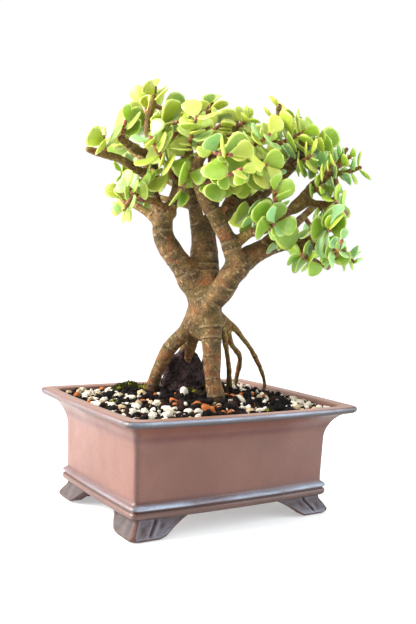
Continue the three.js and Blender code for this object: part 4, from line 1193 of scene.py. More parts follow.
@dataclass
class Soil:
    """The potting mix: a dark crumbly bed, heaped a little, under pumice, lava and terracotta grains."""

    pot: Pot
    edge: float = 67.6
    heap: float = 70.8
    clear: float = 0.5
    big_rows: int = 9
    big_lines: int = 6
    middling: tuple[float, float, float] = (5.6, 1.7, 3.3)
    small: tuple[float, float, float] = (3.1, 0.9, 1.9)
    lone_at: tuple[float, float] = (-8.0, 2.0)
    lone_size: float = 4.0
    pumice: Colour = linear(232, 226, 212)
    cream: Colour = linear(196, 176, 144)
    coal: Colour = linear(22, 18, 17)
    brown: Colour = linear(54, 36, 27)
    terracotta: Colour = linear(186, 110, 62)

    def half_sizes(self) -> tuple[float, float]:
        """Half the bed's length and width at its edge."""
        _, half_x, half_y, _, _ = self.pot.inside_row(self.edge, self.clear)
        return half_x, half_y

    def height(self, x: Array, y: Array) -> Array:
        """Height of the bed: heap - (heap - edge) s^2, s being the larger share of the way to a wall."""
        half_x, half_y = self.half_sizes()
        share = np.maximum(np.abs(x) / half_x, np.abs(y) / half_y)
        return self.heap + (self.edge - self.heap) * np.minimum(share, 1) ** 2

    def bed(self) -> Skin:
        """The soil as one closed body: down the pot's wall, across its floor, and crumbs on top.

        Returns:
            The skin.
        """
        low = self.pot.floor + 0.3
        _, half_x, half_y, _, _ = self.pot.inside_row(low, self.clear)
        rows = [[low, half_x * s, half_y * s, 4, s] for s in (0.3, 0.7, 0.96)]
        rows += [self.pot.inside_row(z, self.clear)
                 for z in (low + 0.4, 30, 40, 48, 52, 56, 60, 63, 65.5, self.edge)]
        side = len(rows)
        half_x, half_y = self.half_sizes()
        rows += [[self.edge, half_x * s, half_y * s, 4 * s, s] for s in np.linspace(0.985, 0.03, 64)]
        rings = self.pot.rings(np.array(rows, float))
        top = rings[side:].reshape(-1, 3)
        top[:, 2] = self.height(top[:, 0], top[:, 1])
        crumbs = 1.3 * value_noise(top, 5.0, Seed.CRUMBS) + value_noise(top, 2.2, Seed.CRUMBS + 1)
        top[:, 2] += crumbs * np.clip((self.edge + 6 - top[:, 2]) / 3, 0.3, 1)
        rings[side:] = top.reshape(rings[side:].shape)
        return Skin(*closed_net(rings, [0, 0, low], [0, 0, self.heap]))

    def large_grains(self) -> tuple[Array, Array]:
        """The big grains of the packed soil, by the rule that placed them: a loose grid of draws.

        Returns:
            Their middles and their radii.
        """
        lottery = Lottery(Seed.BIG_GRAINS)
        half_x, half_y = self.half_sizes()
        stands = np.array([from_tree(rows[-2][:3]) for rows in ROOTS])
        middles, sizes = [], []
        for i, j in np.ndindex(self.big_rows, self.big_lines):
            size = 2.6 + 2.2 * lottery.draw() * lottery.draw()
            x = (half_x - size - 1) * (2 * (i + 0.15 + 0.7 * lottery.draw()) / self.big_rows - 1)
            y = (half_y - size - 1) * (2 * (j + 0.15 + 0.7 * lottery.draw()) / self.big_lines - 1)
            for _ in range(3):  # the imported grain's own turns
                lottery.draw()
            if np.hypot(stands[:, 0] - x, stands[:, 1] - y).min() > size + 6:
                middles.append([x, y, float(self.height(x, y)) + 0.18 * size])
                sizes.append(size)
        return np.array(middles), np.array(sizes)

    def small_grains(self, pitch: float, low: float, high: float, seed: int) -> tuple[Array, Array]:
        """A jittered grid of smaller grains over the bed."""
        rng = np.random.default_rng(seed)
        half_x, half_y = self.half_sizes()
        x, y = np.meshgrid(*(np.arange(high - half, half - high, pitch) for half in (half_x, half_y)))
        x = x.ravel() + rng.uniform(-0.45, 0.45, x.size) * pitch
        y = y.ravel() + rng.uniform(-0.45, 0.45, y.size) * pitch
        sizes = low + (high - low) * rng.random(len(x)) ** 1.6
        return np.stack([x, y, self.height(x, y) + 0.3 * sizes], -1), sizes

    def paleness(self, middles: Array) -> Array:
        """Share of pale grains: high along the left and front edges and in the right corner, and patchy."""
        x, y, _ = middles.T
        left, front = np.clip((-x - 32) / 12, 0, 1), np.clip((-y - 34) / 10, 0, 1)
        right = np.clip((x - 36) / 10, 0, 1)
        corner = np.exp(-((x - 66) ** 2 + (y + 45) ** 2) / 16 ** 2)
        patches = value_noise(middles * [1, 1, 0], 13.0, Seed.PALE_PATCHES)
        moss = np.exp(-((x + 22) ** 2 + (y - 50) ** 2) / 14 ** 2)
        share = 0.1 + 0.52 * left + 0.02 * front + 0.34 * right + 0.3 * corner + 0.32 * patches - 0.6 * moss
        return np.clip(share, 0.02, 0.7)

    def clear_of(self, middles: Array, sizes: Array, wood: "Wood") -> Array:
        """Which grains stand clear of the roots and the rock."""
        path, radii = wood.all_steps(3.0)
        apart = np.linalg.norm(middles[:, None] - path[None], axis=2) - radii - 0.35 * sizes[:, None]
        return (apart.min(1) > 0) & (Rock().outside(middles) > 0.92)

    def tints(self, middles: Array, share: float, seed: int) -> Array:
        """A colour for each grain: pale ones by their share there, terracotta in three patches, else dark.

        Args:
            middles: the grains' places.
            share: scales the share of pale grains.
            seed: seeds the draws.

        Returns:
            One colour per grain.
        """
        rng = np.random.default_rng(seed)
        pale = self.paleness(middles) * share
        beds = np.array([[-16, -36, 14, 0.3], [36, -6, 10, 0.3], [-62, 0, 8, 0.2]])
        gaps = np.sum((middles[:, None, :2] - beds[None, :, :2]) ** 2, 2)
        warm = 0.02 + np.sum(beds[:, 3] * np.exp(-gaps / beds[:, 2] ** 2), 1)
        shares = np.stack([pale * 0.78, pale * 0.22, (1 - pale) * warm, (1 - pale) * 0.15], -1)
        kinds = np.array([self.pumice, self.cream, self.terracotta, self.brown, self.coal])
        picked = kinds[np.sum(rng.random((len(pale), 1)) > np.cumsum(shares, 1), 1)]
        return picked * rng.uniform(0.72, 1.1, (len(pale), 1))

    def build(self, wood: "Wood", bed: bpy.types.Material, grit: bpy.types.Material) -> None:
        """Adds the bed and its grains.

        Args:
            wood: the tree's wood, which the grains keep clear of.
            bed: the bed's material.
            grit: the grains' material.
        """
        add_piece("soil_bed", self.bed(), bed, "soil", "soil")
        template = ball_net(2)
        layers = [(*self.large_grains(), 1.15), (*self.small_grains(*self.middling, Seed.GRAINS), 0.9),
                  (*self.small_grains(*self.small, Seed.GRAINS + 1), 0.25)]
        skins = []
        for k, (middles, sizes, share) in enumerate(layers):
            keep = self.clear_of(middles, sizes, wood)
            middles, sizes = middles[keep], sizes[keep]
            tints = self.tints(middles, share, Seed.GRAIN_TINTS + k)
            skins.append(scatter(template, middles, sizes, tints, Seed.PEBBLES + k, 0.17))
        lone = np.array([[*self.lone_at, float(self.height(*self.lone_at)) + 0.85 * self.lone_size]])
        skins.append(scatter(template, lone, np.array([self.lone_size]), np.array([self.pumice]),
                             Seed.LONE_PEBBLE, 0.08))
        add_piece("soil_grains", join_skins(skins), grit, "soil")


@dataclass
class Rock:
    """The lump of lava behind the left root."""

    at: tuple[float, float, float] = (-9, 26, 82)
    size: tuple[float, float, float] = (14.5, 12, 18.5)
    pits: int = 520

    def outside(self, points: Array) -> Array:
        """How far out each place lies, as a share of the rock's own half size in that direction."""
        return np.linalg.norm(turn_level(points - from_tree(self.at), -TREE_TURN) / self.size, axis=1)

    def build(self, lava: bpy.types.Material) -> None:
        """Adds the rock: a ball whose radius is 1 + waves - pits, stretched to size and turned.

        The waves are sines of the place on the ball. The pits are smooth dents round scattered points.
        """
        ball, faces = ball_net(6)
        ball = unit(ball)
        x, y, z = ball.T
        wave = np.sin(5.1 * x + 7) * np.sin(4.3 * y + 1) + np.sin(6.7 * z + 2.2 * x)
        body = ball * (1 + 0.08 * wave)[:, None] * self.size
        rng = np.random.default_rng(Seed.PITS)
        dents = unit(rng.normal(size=(self.pits, 3))) * self.size
        spread = rng.uniform(0.8, 2.4, self.pits)
        egg = ball * self.size
        gaps = (np.sum(egg ** 2, 1)[:, None] + np.sum(dents ** 2, 1)[None] - 2 * egg @ dents.T).clip(0)
        depth = (0.8 * spread * np.exp(-gaps / spread ** 2)).max(1)
        lumps = sum(share * value_noise(body, cell, Seed.ROCK_LUMPS + k)
                    for k, (share, cell) in enumerate(((1.0, 6.0), (0.8, 2.6), (0.4, 1.2))))
        body += unit(ball / self.size) * (0.5 + lumps - depth)[:, None]
        points = from_tree(body + self.at)
        add_piece("lava_stone", Skin(points, faces.tolist()), lava, "lava", "lava_rock")


@dataclass
class Moss:
    """Pads of dark moss on the soil: mounds of short pointed tufts."""

    soil: Soil
    pads: tuple[tuple[float, float, float, float], ...] = (
        (-22.0, 52.0, 10.0, 6.0), (-32.0, 46.0, 8.0, 5.0), (-14.0, 45.0, 8.0, 4.2), (3.0, 13.0, 7.0, 3.6),
        (6.0, 3.0, 5.0, 2.6), (-58.0, 2.0, 3.5, 2.6), (19.0, -53.0, 2.6, 2.6), (30.0, 40.0, 9.0, 2.4))
    tufts_per_mm2: float = 7.0
    green: Colour = linear(56, 60, 26)
    gold: Colour = linear(166, 160, 54)

    def build(self, moss: bpy.types.Material) -> None:
        """Adds the tufts: each a four-sided spike on the mound, leaning its own way."""
        rng = np.random.default_rng(Seed.MOSS)
        tips, feet, widths, tints = [], [], [], []
        for x, y, radius, rise in self.pads:
            count = int(radius * radius * self.tufts_per_mm2)
            angle, share = rng.uniform(0, TAU, count), np.sqrt(rng.random(count))
            px, py = x + radius * share * np.cos(angle), y + radius * share * np.sin(angle)
            ground = self.soil.height(px, py) + rise * (1 - share ** 2) - 0.4
            foot = np.stack([px, py, ground], -1)
            lean = rng.normal(scale=0.5, size=(count, 3)) + [0, 0, 1.9]
            feet.append(foot)
            tips.append(foot + lean * rng.uniform(0.5, 1.1, (count, 1)))
            widths.append(rng.uniform(0.35, 0.65, count))
            tint = np.array(self.green) * rng.uniform(0.4, 1.5, (count, 1))
            gilt = value_noise(foot, 3.0, Seed.MOSS_GOLD) > 0.35
            tint[gilt] = np.array(self.gold) * rng.uniform(0.7, 1.1, (count, 1))[gilt]
            tints.append(tint)
        foot, tip, width, tint = (np.concatenate(part) for part in (feet, tips, widths, tints))
        corners = np.array([[1, 0, -0.5], [0, 1, -0.5], [-1, 0, -0.5], [0, -1, -0.5]])
        base = foot[:, None] + corners * width[:, None, None]
        points = np.concatenate([base, tip[:, None]], 1).reshape(-1, 3)
        faces = np.array([[0, 1, 4], [1, 2, 4], [2, 3, 4], [3, 0, 4]])
        all_faces = (faces[None] + 5 * np.arange(len(foot))[:, None, None]).reshape(-1, 3).tolist()
        all_faces += (np.array([3, 2, 1, 0]) + 5 * np.arange(len(foot))[:, None]).tolist()
        add_piece("moss_tufts", Skin(points, all_faces, {"tint": np.repeat(tint, 5, 0)}), moss, "soil")


# wood


@dataclass
class Wood:
    """Roots, trunk and branches as one skin, drawn round a field of distances to their middle lines."""

    cell: float = 0.82
    blend: float = 2.4
    margin: float = 4.0
    thin: float = 0.25
    far: float = 6.0
    around: float = 14.0
    batch: int = 6000
    most_rings: int = 32
    wander: float = 0.07
    wander_step: float = 7.0
    low_below: float = 110.0
    # height under which the wood is made darker toward the soil
    damp_below: float = 80.0

    def all_steps(self, step: float) -> tuple[Array, Array]:
        """Places and radii along every limb."""
        places, radii = zip(*(limb_steps(rows, step) for rows in LIMBS))
        return np.concatenate(places), np.concatenate(radii)

    def old_nodes(self, number: int) -> tuple[Array, Array]:
        """Where old leaf pairs ringed a limb, by distance along it, and how strong each ring is."""
        rng = np.random.default_rng(Seed.RINGS + number)
        apart = rng.uniform(4.0, 12.0, self.most_rings)
        return np.cumsum(apart), rng.uniform(0.2, 1.0, self.most_rings) ** 1.3

    def rings_at(self, along: Array, number: int, width: float) -> Array:
        """Strength of the nearest ring: the greatest of strength exp(-(gap / width)^2)."""
        nodes, strengths = self.old_nodes(number)
        return (strengths * np.exp(-((along[:, None] - nodes[None]) / width) ** 2)).max(1)

    def dressed_radii(self, path: Array, radii: Array, number: int) -> Array:
        """Radii that wander by 7 per cent and swell a little at each ring."""
        along = run_along(path)
        rng = np.random.default_rng(Seed.GIRTH + number)
        knots = np.arange(0, 400, self.wander_step)
        wander = np.interp(along, knots, rng.uniform(-self.wander, self.wander, len(knots)))
        return radii * (1 + wander) + self.rings_at(along, number, 1.1) * np.clip(radii * 0.06, 0.12, 0.32)

    def distances(self) -> tuple[Array, Array]:
        """Signed distance to the wood on a grid.

        A limb's distance is the least, over its short straight pieces, of the distance to the piece's
        line minus the radius there. Limbs are joined by the smooth least of their distances,
        min(a, b) - h^2 / (4 k), where h = max(k - |a - b|, 0), so that their forks are filleted.

        Returns:
            The grid of distances and its low corner.
        """
        dressed = []
        for number, rows in enumerate(LIMBS):
            path, radii = limb_steps(rows, 1.3)
            dressed.append((path, self.dressed_radii(path, radii, number)))
        every = np.concatenate([path for path, _ in dressed])
        low = every.min(0) - self.around
        shape = np.ceil((every.max(0) + self.around - low) / self.cell).astype(int) + 1
        grid = np.full(shape, self.far, np.float32)
        for path, radii in dressed:
            first, last = self.cells_round(path, radii, low)
            local = np.full(last - first, self.far, np.float32)
            for k in range(len(path) - 1):
                self.stamp(local, low + first * self.cell, path[k:k + 2], radii[k:k + 2])
            window = tuple(map(slice, first, last))
            other = grid[window]
            h = np.maximum(self.blend - np.abs(other - local), 0)
            grid[window] = np.minimum(other, local) - h * h / (4 * self.blend)
        return grid, low

    def cells_round(self, path: Array, radii: Array, low: Array) -> tuple[Array, Array]:
        """The first cell of a grid's part round a path, and the one past its last."""
        reach = radii.max() + self.margin
        return (np.floor((path.min(0) - reach - low) / self.cell).astype(int),
                np.ceil((path.max(0) + reach - low) / self.cell).astype(int) + 1)

    def stamp(self, grid: Array, low: Array, ends: Array, radii: Array) -> None:
        """Lowers a grid to the distance from one tapered straight piece, near that piece only."""
        (a, b), (ra, rb) = ends, radii
        first, last = self.cells_round(ends, radii, low)
        first, last = np.maximum(first, 0), np.minimum(last, grid.shape)
        offsets = (low[k] + np.arange(first[k], last[k]) * self.cell - a[k] for k in range(3))
        x, y, z = np.meshgrid(*offsets, indexing="ij", sparse=True)
        d = b - a
        t = np.clip((x * d[0] + y * d[1] + z * d[2]) / max(d @ d, 1e-9), 0, 1)
        gap = (x - t * d[0]) ** 2 + (y - t * d[1]) ** 2 + (z - t * d[2]) ** 2
        value = np.sqrt(gap) - (ra + t * (rb - ra))
        window = tuple(map(slice, first, last))
        grid[window] = np.minimum(grid[window], value)

    def roughen(self, grid: Array, low: Array) -> None:
        """Adds the bark's lumps near the surface, 0.42 and 0.2 mm high and 6.5 and 2.4 mm wide."""
        near = np.flatnonzero(np.abs(grid.ravel()) < 1.8)
        places = np.stack(np.unravel_index(near, grid.shape), -1) * self.cell + low
        lumps = 0.42 * value_noise(places * [1, 1, 0.6], 6.5, Seed.BARK_LUMPS)
        lumps += 0.2 * value_noise(places, 2.4, Seed.BARK_LUMPS + 1)
        grid.ravel()[near] += (self.thin - lumps).astype(np.float32)

    def skin(self, grid: Array, low: Array) -> tuple[Array, Array]:
        """A net of quads over the zero level of a grid of distances.

        Each cell that the level passes through gets one point, the mean of the crossings on its
        edges, and each crossed grid edge gets one quad through the four cells round it.

        Args:
            grid: the distances.
            low: the grid's low corner.

        Returns:
            Points and quads.
        """
        inside = grid < 0
        corners = list(np.ndindex(2, 2, 2))
        spans = [tuple(slice(first, n - 1 + first) for first, n in zip(corner, inside.shape))
                 for corner in corners]
        count = sum(inside[span].astype(np.uint8) for span in spans)
        cells = np.argwhere((count > 0) & (count < 8))
        number = np.full(count.shape, -1, np.int32)
        number[tuple(cells.T)] = np.arange(len(cells))
        total, crossings = np.zeros((len(cells), 3)), np.zeros((len(cells), 1))
        for start in corners:
            for axis in range(3):
                if start[axis] == 0:
                    step = np.eye(3, dtype=int)[axis]
                    fa, fb = grid[tuple((cells + start).T)], grid[tuple((cells + start + step).T)]
                    crossed = (fa < 0) != (fb < 0)
                    t = np.where(crossed, fa / np.where(crossed, fa - fb, 1), 0)[:, None]
                    total += np.where(crossed[:, None], np.array(start) + t * step, 0)
                    crossings += crossed[:, None]
        points = (cells + total / crossings) * self.cell + low
        quads = []
        for axis in range(3):
            side_u, side_v = (np.eye(3, dtype=int)[(axis + k) % 3] for k in (1, 2))
            upper = tuple(slice(1, None) if k == axis else slice(None) for k in range(3))
            lower = tuple(slice(None, -1) if k == axis else slice(None) for k in range(3))
            at = np.argwhere(inside[lower] != inside[upper])
            back = (side_u + side_v, side_v, 0 * side_u, side_u)
            quad = np.stack([number[tuple((at - shift).T)] for shift in back], -1)
            outward = inside[tuple(at.T)]
            quads.append(np.where(outward[:, None], quad, quad[:, ::-1]))
        return points, np.concatenate(quads)

    def marks(self, points: Array) -> dict[str, Array]:
        """What the bark's colour reads.

        Args:
            points: places on the wood.

        Returns:
            Girth in mm, and from 0 to 1 the scars of old leaves, what lies beside them, cut ends,
            nearness to the ground and how much darker the wood is made close to the soil.
        """
        limbs = [limb_steps(rows, 2.0) for rows in LIMBS]
        middle, girth = (np.concatenate(part) for part in zip(*limbs))
        along = np.concatenate([run_along(path) for path, _ in limbs])
        owner = np.repeat(np.arange(len(limbs)), [len(path) for path, _ in limbs])
        heading = unit(np.gradient(middle, axis=0) + 1e-9)
        nearest = np.empty(len(points), int)
        for some in np.array_split(np.arange(len(points)), len(points) // self.batch + 1):
            part = points[some]
            gap = np.sum(part ** 2, 1)[:, None] + np.sum(middle ** 2, 1)[None] - 2 * part @ middle.T
            nearest[some] = np.argmin(np.sqrt(gap.clip(0)) - girth, axis=1)
        offset = np.sum((points - middle[nearest]) * heading[nearest], axis=1).clip(-2, 2)
        place = along[nearest] + offset + 0.7 * value_noise(points, 5.0, Seed.RING_WANDER)
        scar, beside = np.zeros(len(points)), np.zeros(len(points))
        for number in range(len(limbs)):
            mine = owner[nearest] == number
            scar[mine] = self.rings_at(place[mine], number, 0.42)
            beside[mine] = self.rings_at(place[mine] + 1.4, number, 0.8)
        tips = np.array([rows[-1] for rows in STUBS])
        cut = (np.linalg.norm(points[:, None] - from_tree(tips)[None], axis=2) - tips[:, 3] * 0.95).min(1)
        return {"girth": girth[nearest], "scar": scar, "beside": beside,
                "cut": np.clip(1 - cut / 0.8, 0, 1) * 0.8,
                "low": np.clip((self.low_below - points[:, 2]) / 14, 0, 1),
                # darker toward the soil
                "damp": np.clip((self.damp_below - points[:, 2]) / 9, 0, 1)}

    def build(self, bark: bpy.types.Material) -> None:
        """Adds the wood."""
        grid, low = self.distances()
        self.roughen(grid, low)
        points, quads = self.skin(grid, low)
        skin = Skin(points, quads.tolist(), amounts=self.marks(points))
        add_piece("trunk_and_roots", skin, bark, "bark", "trunk")


# leaves


@dataclass
class Leaf:
    """A leaf where it grows: its spray, foot, three unit directions, length and height up the stem."""

    owner: int
    foot: Array
    along: Array
    face: Array
    aside: Array
    length: float
    rise: float


@dataclass
class Crown:
    """The leafy sprays: pairs of leaves up each stem, kept clear of the wood and of one another."""

    width: float = 0.86
    slab: float = 1.6
    leaf_margin: float = 0.5
    wood_margin: float = 1.3
    tries: int = 12
    small_tries: int = 6
    twig_tries: int = 8
    twig_leaf: float = 13.5
    first_node: float = 0.2
    nodes_over: float = 0.76
    sag: float = 0.08
    stem_clear: tuple[float, float] = (1.8, 1.5)
    middle_at: float = 0.55
    open_angle: float = 1.2
    less_at_tip: float = 0.45
    flatten: float = 0.6
    face_to_tip: float = 0.25
    face_jitter: float = 0.8
    shorten: float = 0.96
    deep: Colour = linear(80, 118, 26)
    grass: Colour = linear(136, 164, 46)
    lime: Colour = linear(184, 188, 74)
    sea: Colour = linear(136, 184, 132)
    stem_red: Colour = linear(106, 48, 40)
    stem_node: Colour = linear(196, 118, 84)
    stem_green: Colour = linear(124, 96, 46)
    stem_sides: int = 8
    stem_radius: float = 1.75
    stem_taper: float = 0.7
    node_swell: float = 0.3
    node_width: float = 0.03
    leaves: list[Leaf] = field(default_factory=list)

    def prepare(self) -> None:
        """Works out the stems, the straight wood that leaves keep clear of, and where a leaf is tested.

        The tests lie at shares of a leaf's length and half width: on its outline, and on five lines
        across it.
        """
        outline = [(0.38, 0.72), (0.78, 0.94), (1, 0), (0.78, -0.94), (0.38, -0.72)]
        inner = [(a, s * min(1, a * 2)) for a in (0.22, 0.4, 0.58, 0.76, 0.92)
                 for s in (-0.66, -0.33, 0, 0.33, 0.66)]
        self.probes_at = np.array(outline + inner)
        paths = [limb_steps(rows, 7) for rows in ROOTS + BRANCHES]
        starts = np.concatenate([p[:-1] for p, _ in paths])
        ends = np.concatenate([p[1:] for p, _ in paths])
        radii = np.concatenate([np.maximum(r[:-1], r[1:]) for _, r in paths])
        self.stems = []
        for begin, tip, *_ in SPRAYS:
            nearest, gap = self.closest(from_tree(begin)[None], starts, ends)
            start, end = nearest[0, int(np.argmin(gap[0]))], from_tree(tip)
            middle = (start + end) / 2 - UP * self.sag * np.linalg.norm(end - start)
            self.stems.append((start, middle, end))
        owners = [np.full(len(starts), -1)]
        for owner, stem in enumerate(self.stems):
            knots = np.array([self.on_stem(stem, t) for t in (0, 0.5, 1)])
            starts, ends = np.concatenate([starts, knots[:2]]), np.concatenate([ends, knots[1:]])
            radii = np.concatenate([radii, self.stem_clear])
            owners.append(np.full(2, owner))
        self.starts, self.ends, self.radii, self.owners = starts, ends, radii, np.concatenate(owners)
        self.placed = {key: np.empty((0, 3)) for key in ("foot", "along", "face", "aside", "middle")}
        self.placed |= {"length": np.empty(0), "probes": np.empty((0, len(self.probes_at), 3))}

    @staticmethod
    def on_stem(stem: tuple[Array, Array, Array], t: float) -> Array:
        """A place on a stem: (1-t)^2 start + 2 t (1-t) middle + t^2 end."""
        start, middle, end = stem
        return (1 - t) ** 2 * start + 2 * t * (1 - t) * middle + t * t * end

    @staticmethod
    def closest(places: Array, starts: Array, ends: Array) -> tuple[Array, Array]:
        """The nearest point of each straight piece to each place, and how far it is."""
        lines = ends - starts
        t = np.einsum("pwi,wi->pw", places[:, None] - starts[None], lines) / np.sum(lines ** 2, 1)
        near = starts[None] + np.clip(t, 0, 1)[..., None] * lines[None]
        return near, np.linalg.norm(places[:, None] - near, axis=2)

    def node_at(self, rise: float) -> float:
        """Where on its stem a pair of leaves stands, from how near the tip it is: 0.2 + 0.76 rise."""
        return self.first_node + self.nodes_over * rise

    def points_on(self, leaf: Leaf, shares: Array) -> Array:
        """Places on a leaf from shares of its length and half width."""
        return (leaf.foot + shares[:, :1] * leaf.length * leaf.along
                + shares[:, 1:2] * leaf.length * self.width * 0.5 * leaf.aside)

    def hits_wood(self, leaf: Leaf, probes: Array, middle: Array) -> bool:
        """Whether a leaf comes too near a limb or a stem, save its own stem near its foot."""
        _, gap = self.closest(middle[None], self.starts, self.ends)
        near = gap[0] <= leaf.length * 0.6 + self.radii + 1.5
        if not near.any():
            return False
        _, gaps = self.closest(probes, self.starts[near], self.ends[near])
        hit = gaps < self.radii[near] + self.wood_margin
        spared = (self.owners[near] == leaf.owner)[None] & (self.probes_at[:, :1] < 0.5)
        return bool((hit & ~spared).any())

    def within(self, places: Array, leaf: dict[str, Array]) -> Array:
        """Which places lie inside a leaf's slab: within its thickness and its oval outline."""
        away = places - leaf["foot"]
        reach = leaf["length"] * 0.5 + self.leaf_margin
        breadth = leaf["length"] * self.width * 0.5 + self.leaf_margin
        x = (np.sum(away * leaf["along"], -1) - leaf["length"] * self.middle_at) / reach
        y = np.sum(away * leaf["aside"], -1) / breadth
        return (np.abs(np.sum(away * leaf["face"], -1)) <= self.slab) & (x * x + y * y < 1)

    def crosses_leaf(self, leaf: Leaf, probes: Array, middle: Array) -> bool:
        """Whether a leaf crosses one that is already placed."""
        reach = (self.placed["length"] + leaf.length) * 0.62
        near = np.linalg.norm(self.placed["middle"] - middle, axis=1) <= reach
        if not near.any():
            return False
        others = {key: values[near][:, None] for key, values in self.placed.items()}
        mine = self.within(probes[None], others)
        theirs = self.within(others["probes"][:, 0], vars(leaf))
        return bool(mine.any() or theirs.any())

    def try_leaf(self, leaf: Leaf) -> bool:
        """Keeps a leaf if it is clear of wood and leaves."""
        probes = self.points_on(leaf, self.probes_at)
        middle = self.points_on(leaf, np.array([[self.middle_at, 0.0]]))[0]
        if self.hits_wood(leaf, probes, middle) or self.crosses_leaf(leaf, probes, middle):
            return False
        self.leaves.append(leaf)
        facts = {**vars(leaf), "middle": middle, "probes": probes}
        self.placed = {key: np.append(old, np.array([facts[key]]), axis=0)
                       for key, old in self.placed.items()}
        return True

    def grow_pair(self, owner: int, stem: tuple[Array, Array, Array], t: float, rise: float, size: float,
                  angle: float, seed: int, tries: int) -> None:
        """Tries to set two opposite leaves at a node of a stem.

        A leaf leans out from the stem, is flattened against the crown's outside, and faces outward
        with some jitter. Each further try turns it more and shortens it a little.

        Args:
            owner: the spray's number.
            stem: the stem's start, middle and end.
            t: where on the stem.
            rise: how near the tip, from 0 to 1.
            size: the leaves' length before the draws.
            angle: which way the first leaf points round the stem.
            seed: seeds the draws of the first leaf, and one more those of the second.
            tries: how many ways each leaf is tried.
        """
        node, step = self.on_stem(stem, t), 1e-4
        tangent = unit(self.on_stem(stem, min(t + step, 1)) - self.on_stem(stem, max(t - step, 0)))
        level = unit(np.cross(UP, tangent))
        outward = unit(node - CROWN_HEART)
        for half in range(2):
            lottery = Lottery(seed + half)
            length = size * (0.92 + 0.26 * lottery.draw()) * (1 - 0.25 * rise * rise)
            jitter = np.array([lottery.draw() - 0.5 for _ in range(3)])
            for attempt in range(tries):
                sway = (lottery.draw() - 0.5) * (0.3 + 0.35 * attempt)
                lean = self.open_angle - self.less_at_tip * rise
                lean += (lottery.draw() - 0.5) * (0.2 + 0.2 * attempt)
                spoke = spin(level, tangent, angle + half * math.pi + sway)
                along = spoke * math.sin(lean) + tangent * math.cos(lean)
                along = unit(along - outward * self.flatten * np.dot(along, outward))
                light = outward + self.face_to_tip * tangent + self.face_jitter * jitter
                face = unit(light - along * np.dot(light, along))
                aside = np.cross(face, along)
                leaf = Leaf(owner, node, along, face, aside, length * self.shorten ** attempt, rise)
                if self.try_leaf(leaf):
                    break

    def grow(self) -> None:
        """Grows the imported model's leaves by its own rule, then the small ones that it leaves out."""
        self.prepare()
        twists = [Lottery(owner + 1 + 100 * row[4]).draw() * math.pi for owner, row in enumerate(SPRAYS)]
        quarter = math.pi / 2
        for owner, (_, _, pairs, size, seed) in enumerate(SPRAYS):
            for pair in range(pairs):
                rise = (pair + 1) / pairs
                first = Seed.PACKED_LEAF + owner * 20 + pair * 2 + 10000 * seed
                self.grow_pair(owner, self.stems[owner], self.node_at(rise), rise, size,
                               twists[owner] + pair * quarter, first, self.tries)
        packed = len(self.leaves)
        rounds = ((0.72, math.pi / 4, 0.5), (0.56, 0.0, 0.0), (0.44, math.pi / 3, 0.8))
        for number, (share, turn, shift) in enumerate(rounds):
            for owner, (_, _, pairs, size, _) in enumerate(SPRAYS):
                for k in range(pairs + 1):
                    rise = min((k + shift) / pairs, 1.0)
                    small = size * share * (1 if k < pairs else 0.8)
                    first = Seed.SMALL_LEAF + owner * 20 + k * 2 + 3000 * number
                    self.grow_pair(owner, self.stems[owner], self.node_at(rise), rise, small,
                                   twists[owner] + k * quarter + turn, first, self.small_tries)
        self.dress_twigs()
        log.info("leaves: %d by the packed rule, %d in all", packed, len(self.leaves))

    def dress_twigs(self) -> None:
        """Grows small leaves up the bare twigs, each pair counted to the nearest spray."""
        tips = np.array([end for _, _, end in self.stems])
        for number, rows in enumerate(rows for rows in STUBS if len(rows) == 3 and rows[0][2] > 200):
            start, middle, end = from_tree(rows)
            owner = int(np.argmin(np.linalg.norm(tips - (start + end) / 2, axis=1)))
            for pair in range(4):
                angle = pair * (math.pi / 2) + number
                first = Seed.TWIG_LEAF + number * 10 + pair * 2
                self.grow_pair(owner, (start, middle, end), 0.15 + 0.27 * pair, 0.4 + 0.2 * pair,
                               self.twig_leaf, angle, first, self.twig_tries)

    def template(self) -> tuple[Array, Array, Array, Array, list[list[int]]]:
        """A leaf of unit length as rings from foot to tip.

        The half width is a smooth run through the shares of an obovate outline, the section is an
        ellipse whose thickness swells to the middle, and the blade is cupped toward its face.

        Returns:
            Shares of length, of half width and of half thickness per point, how near the margin
            each is, and the faces.
        """
        t = np.array([0.0, 0.1, 0.26, 0.44, 0.62, 0.79, 0.92])
        wide = np.array([0.1, 0.16, 0.42, 0.77, 0.98, 0.97, 0.68])
        thick = np.array([0.75, 0.8, 0.92, 1.0, 1.0, 0.88, 0.6])
        around = 8
        angle = np.arange(around) / around * TAU
        aside, above = np.outer(wide, np.cos(angle)), np.outer(thick, np.sin(angle))
        rings = np.stack([np.tile(t[:, None], around), aside, above], -1)
        points, faces = closed_net(rings, [0, 0, 0], [1, 0, 0])
        margin = np.append(np.tile(np.abs(np.cos(angle)) ** 6, len(t)), [0, 1])
        return *points.T, margin, [face[::-1] for face in faces]

    def leaf_tint(self, leaf: Leaf, lottery: Lottery) -> Array:
        """A leaf's colour: limes on top and to the left, deeper and bluer greens below and to the right."""
        deep, grass, lime, sea = (np.array(c) for c in (self.deep, self.grass, self.lime, self.sea))
        high = np.clip((leaf.foot[2] - 150) / 110, 0, 1)
        right = np.clip((turn_level(leaf.foot, -TREE_TURN)[0] - 20) / 70, 0, 1)
        mood = Lottery(Seed.SPRAY_MOOD + leaf.owner).draw()
        warm = 0.26 + 0.5 * high - 0.3 * right + 0.35 * (mood - 0.5)
        warm += 0.6 * (lottery.draw() - 0.5) + 0.1 * leaf.rise
        share = 2 * float(np.clip(warm, 0, 1))
        colour = deep + (grass - deep) * min(share, 1) + (lime - grass) * max(share - 1, 0)
        if lottery.draw() < 0.12 + 0.14 * right:
            colour = colour + (sea - colour) * (0.35 + 0.4 * lottery.draw())
        return colour * (0.82 + 0.36 * right + 0.36 * lottery.draw())

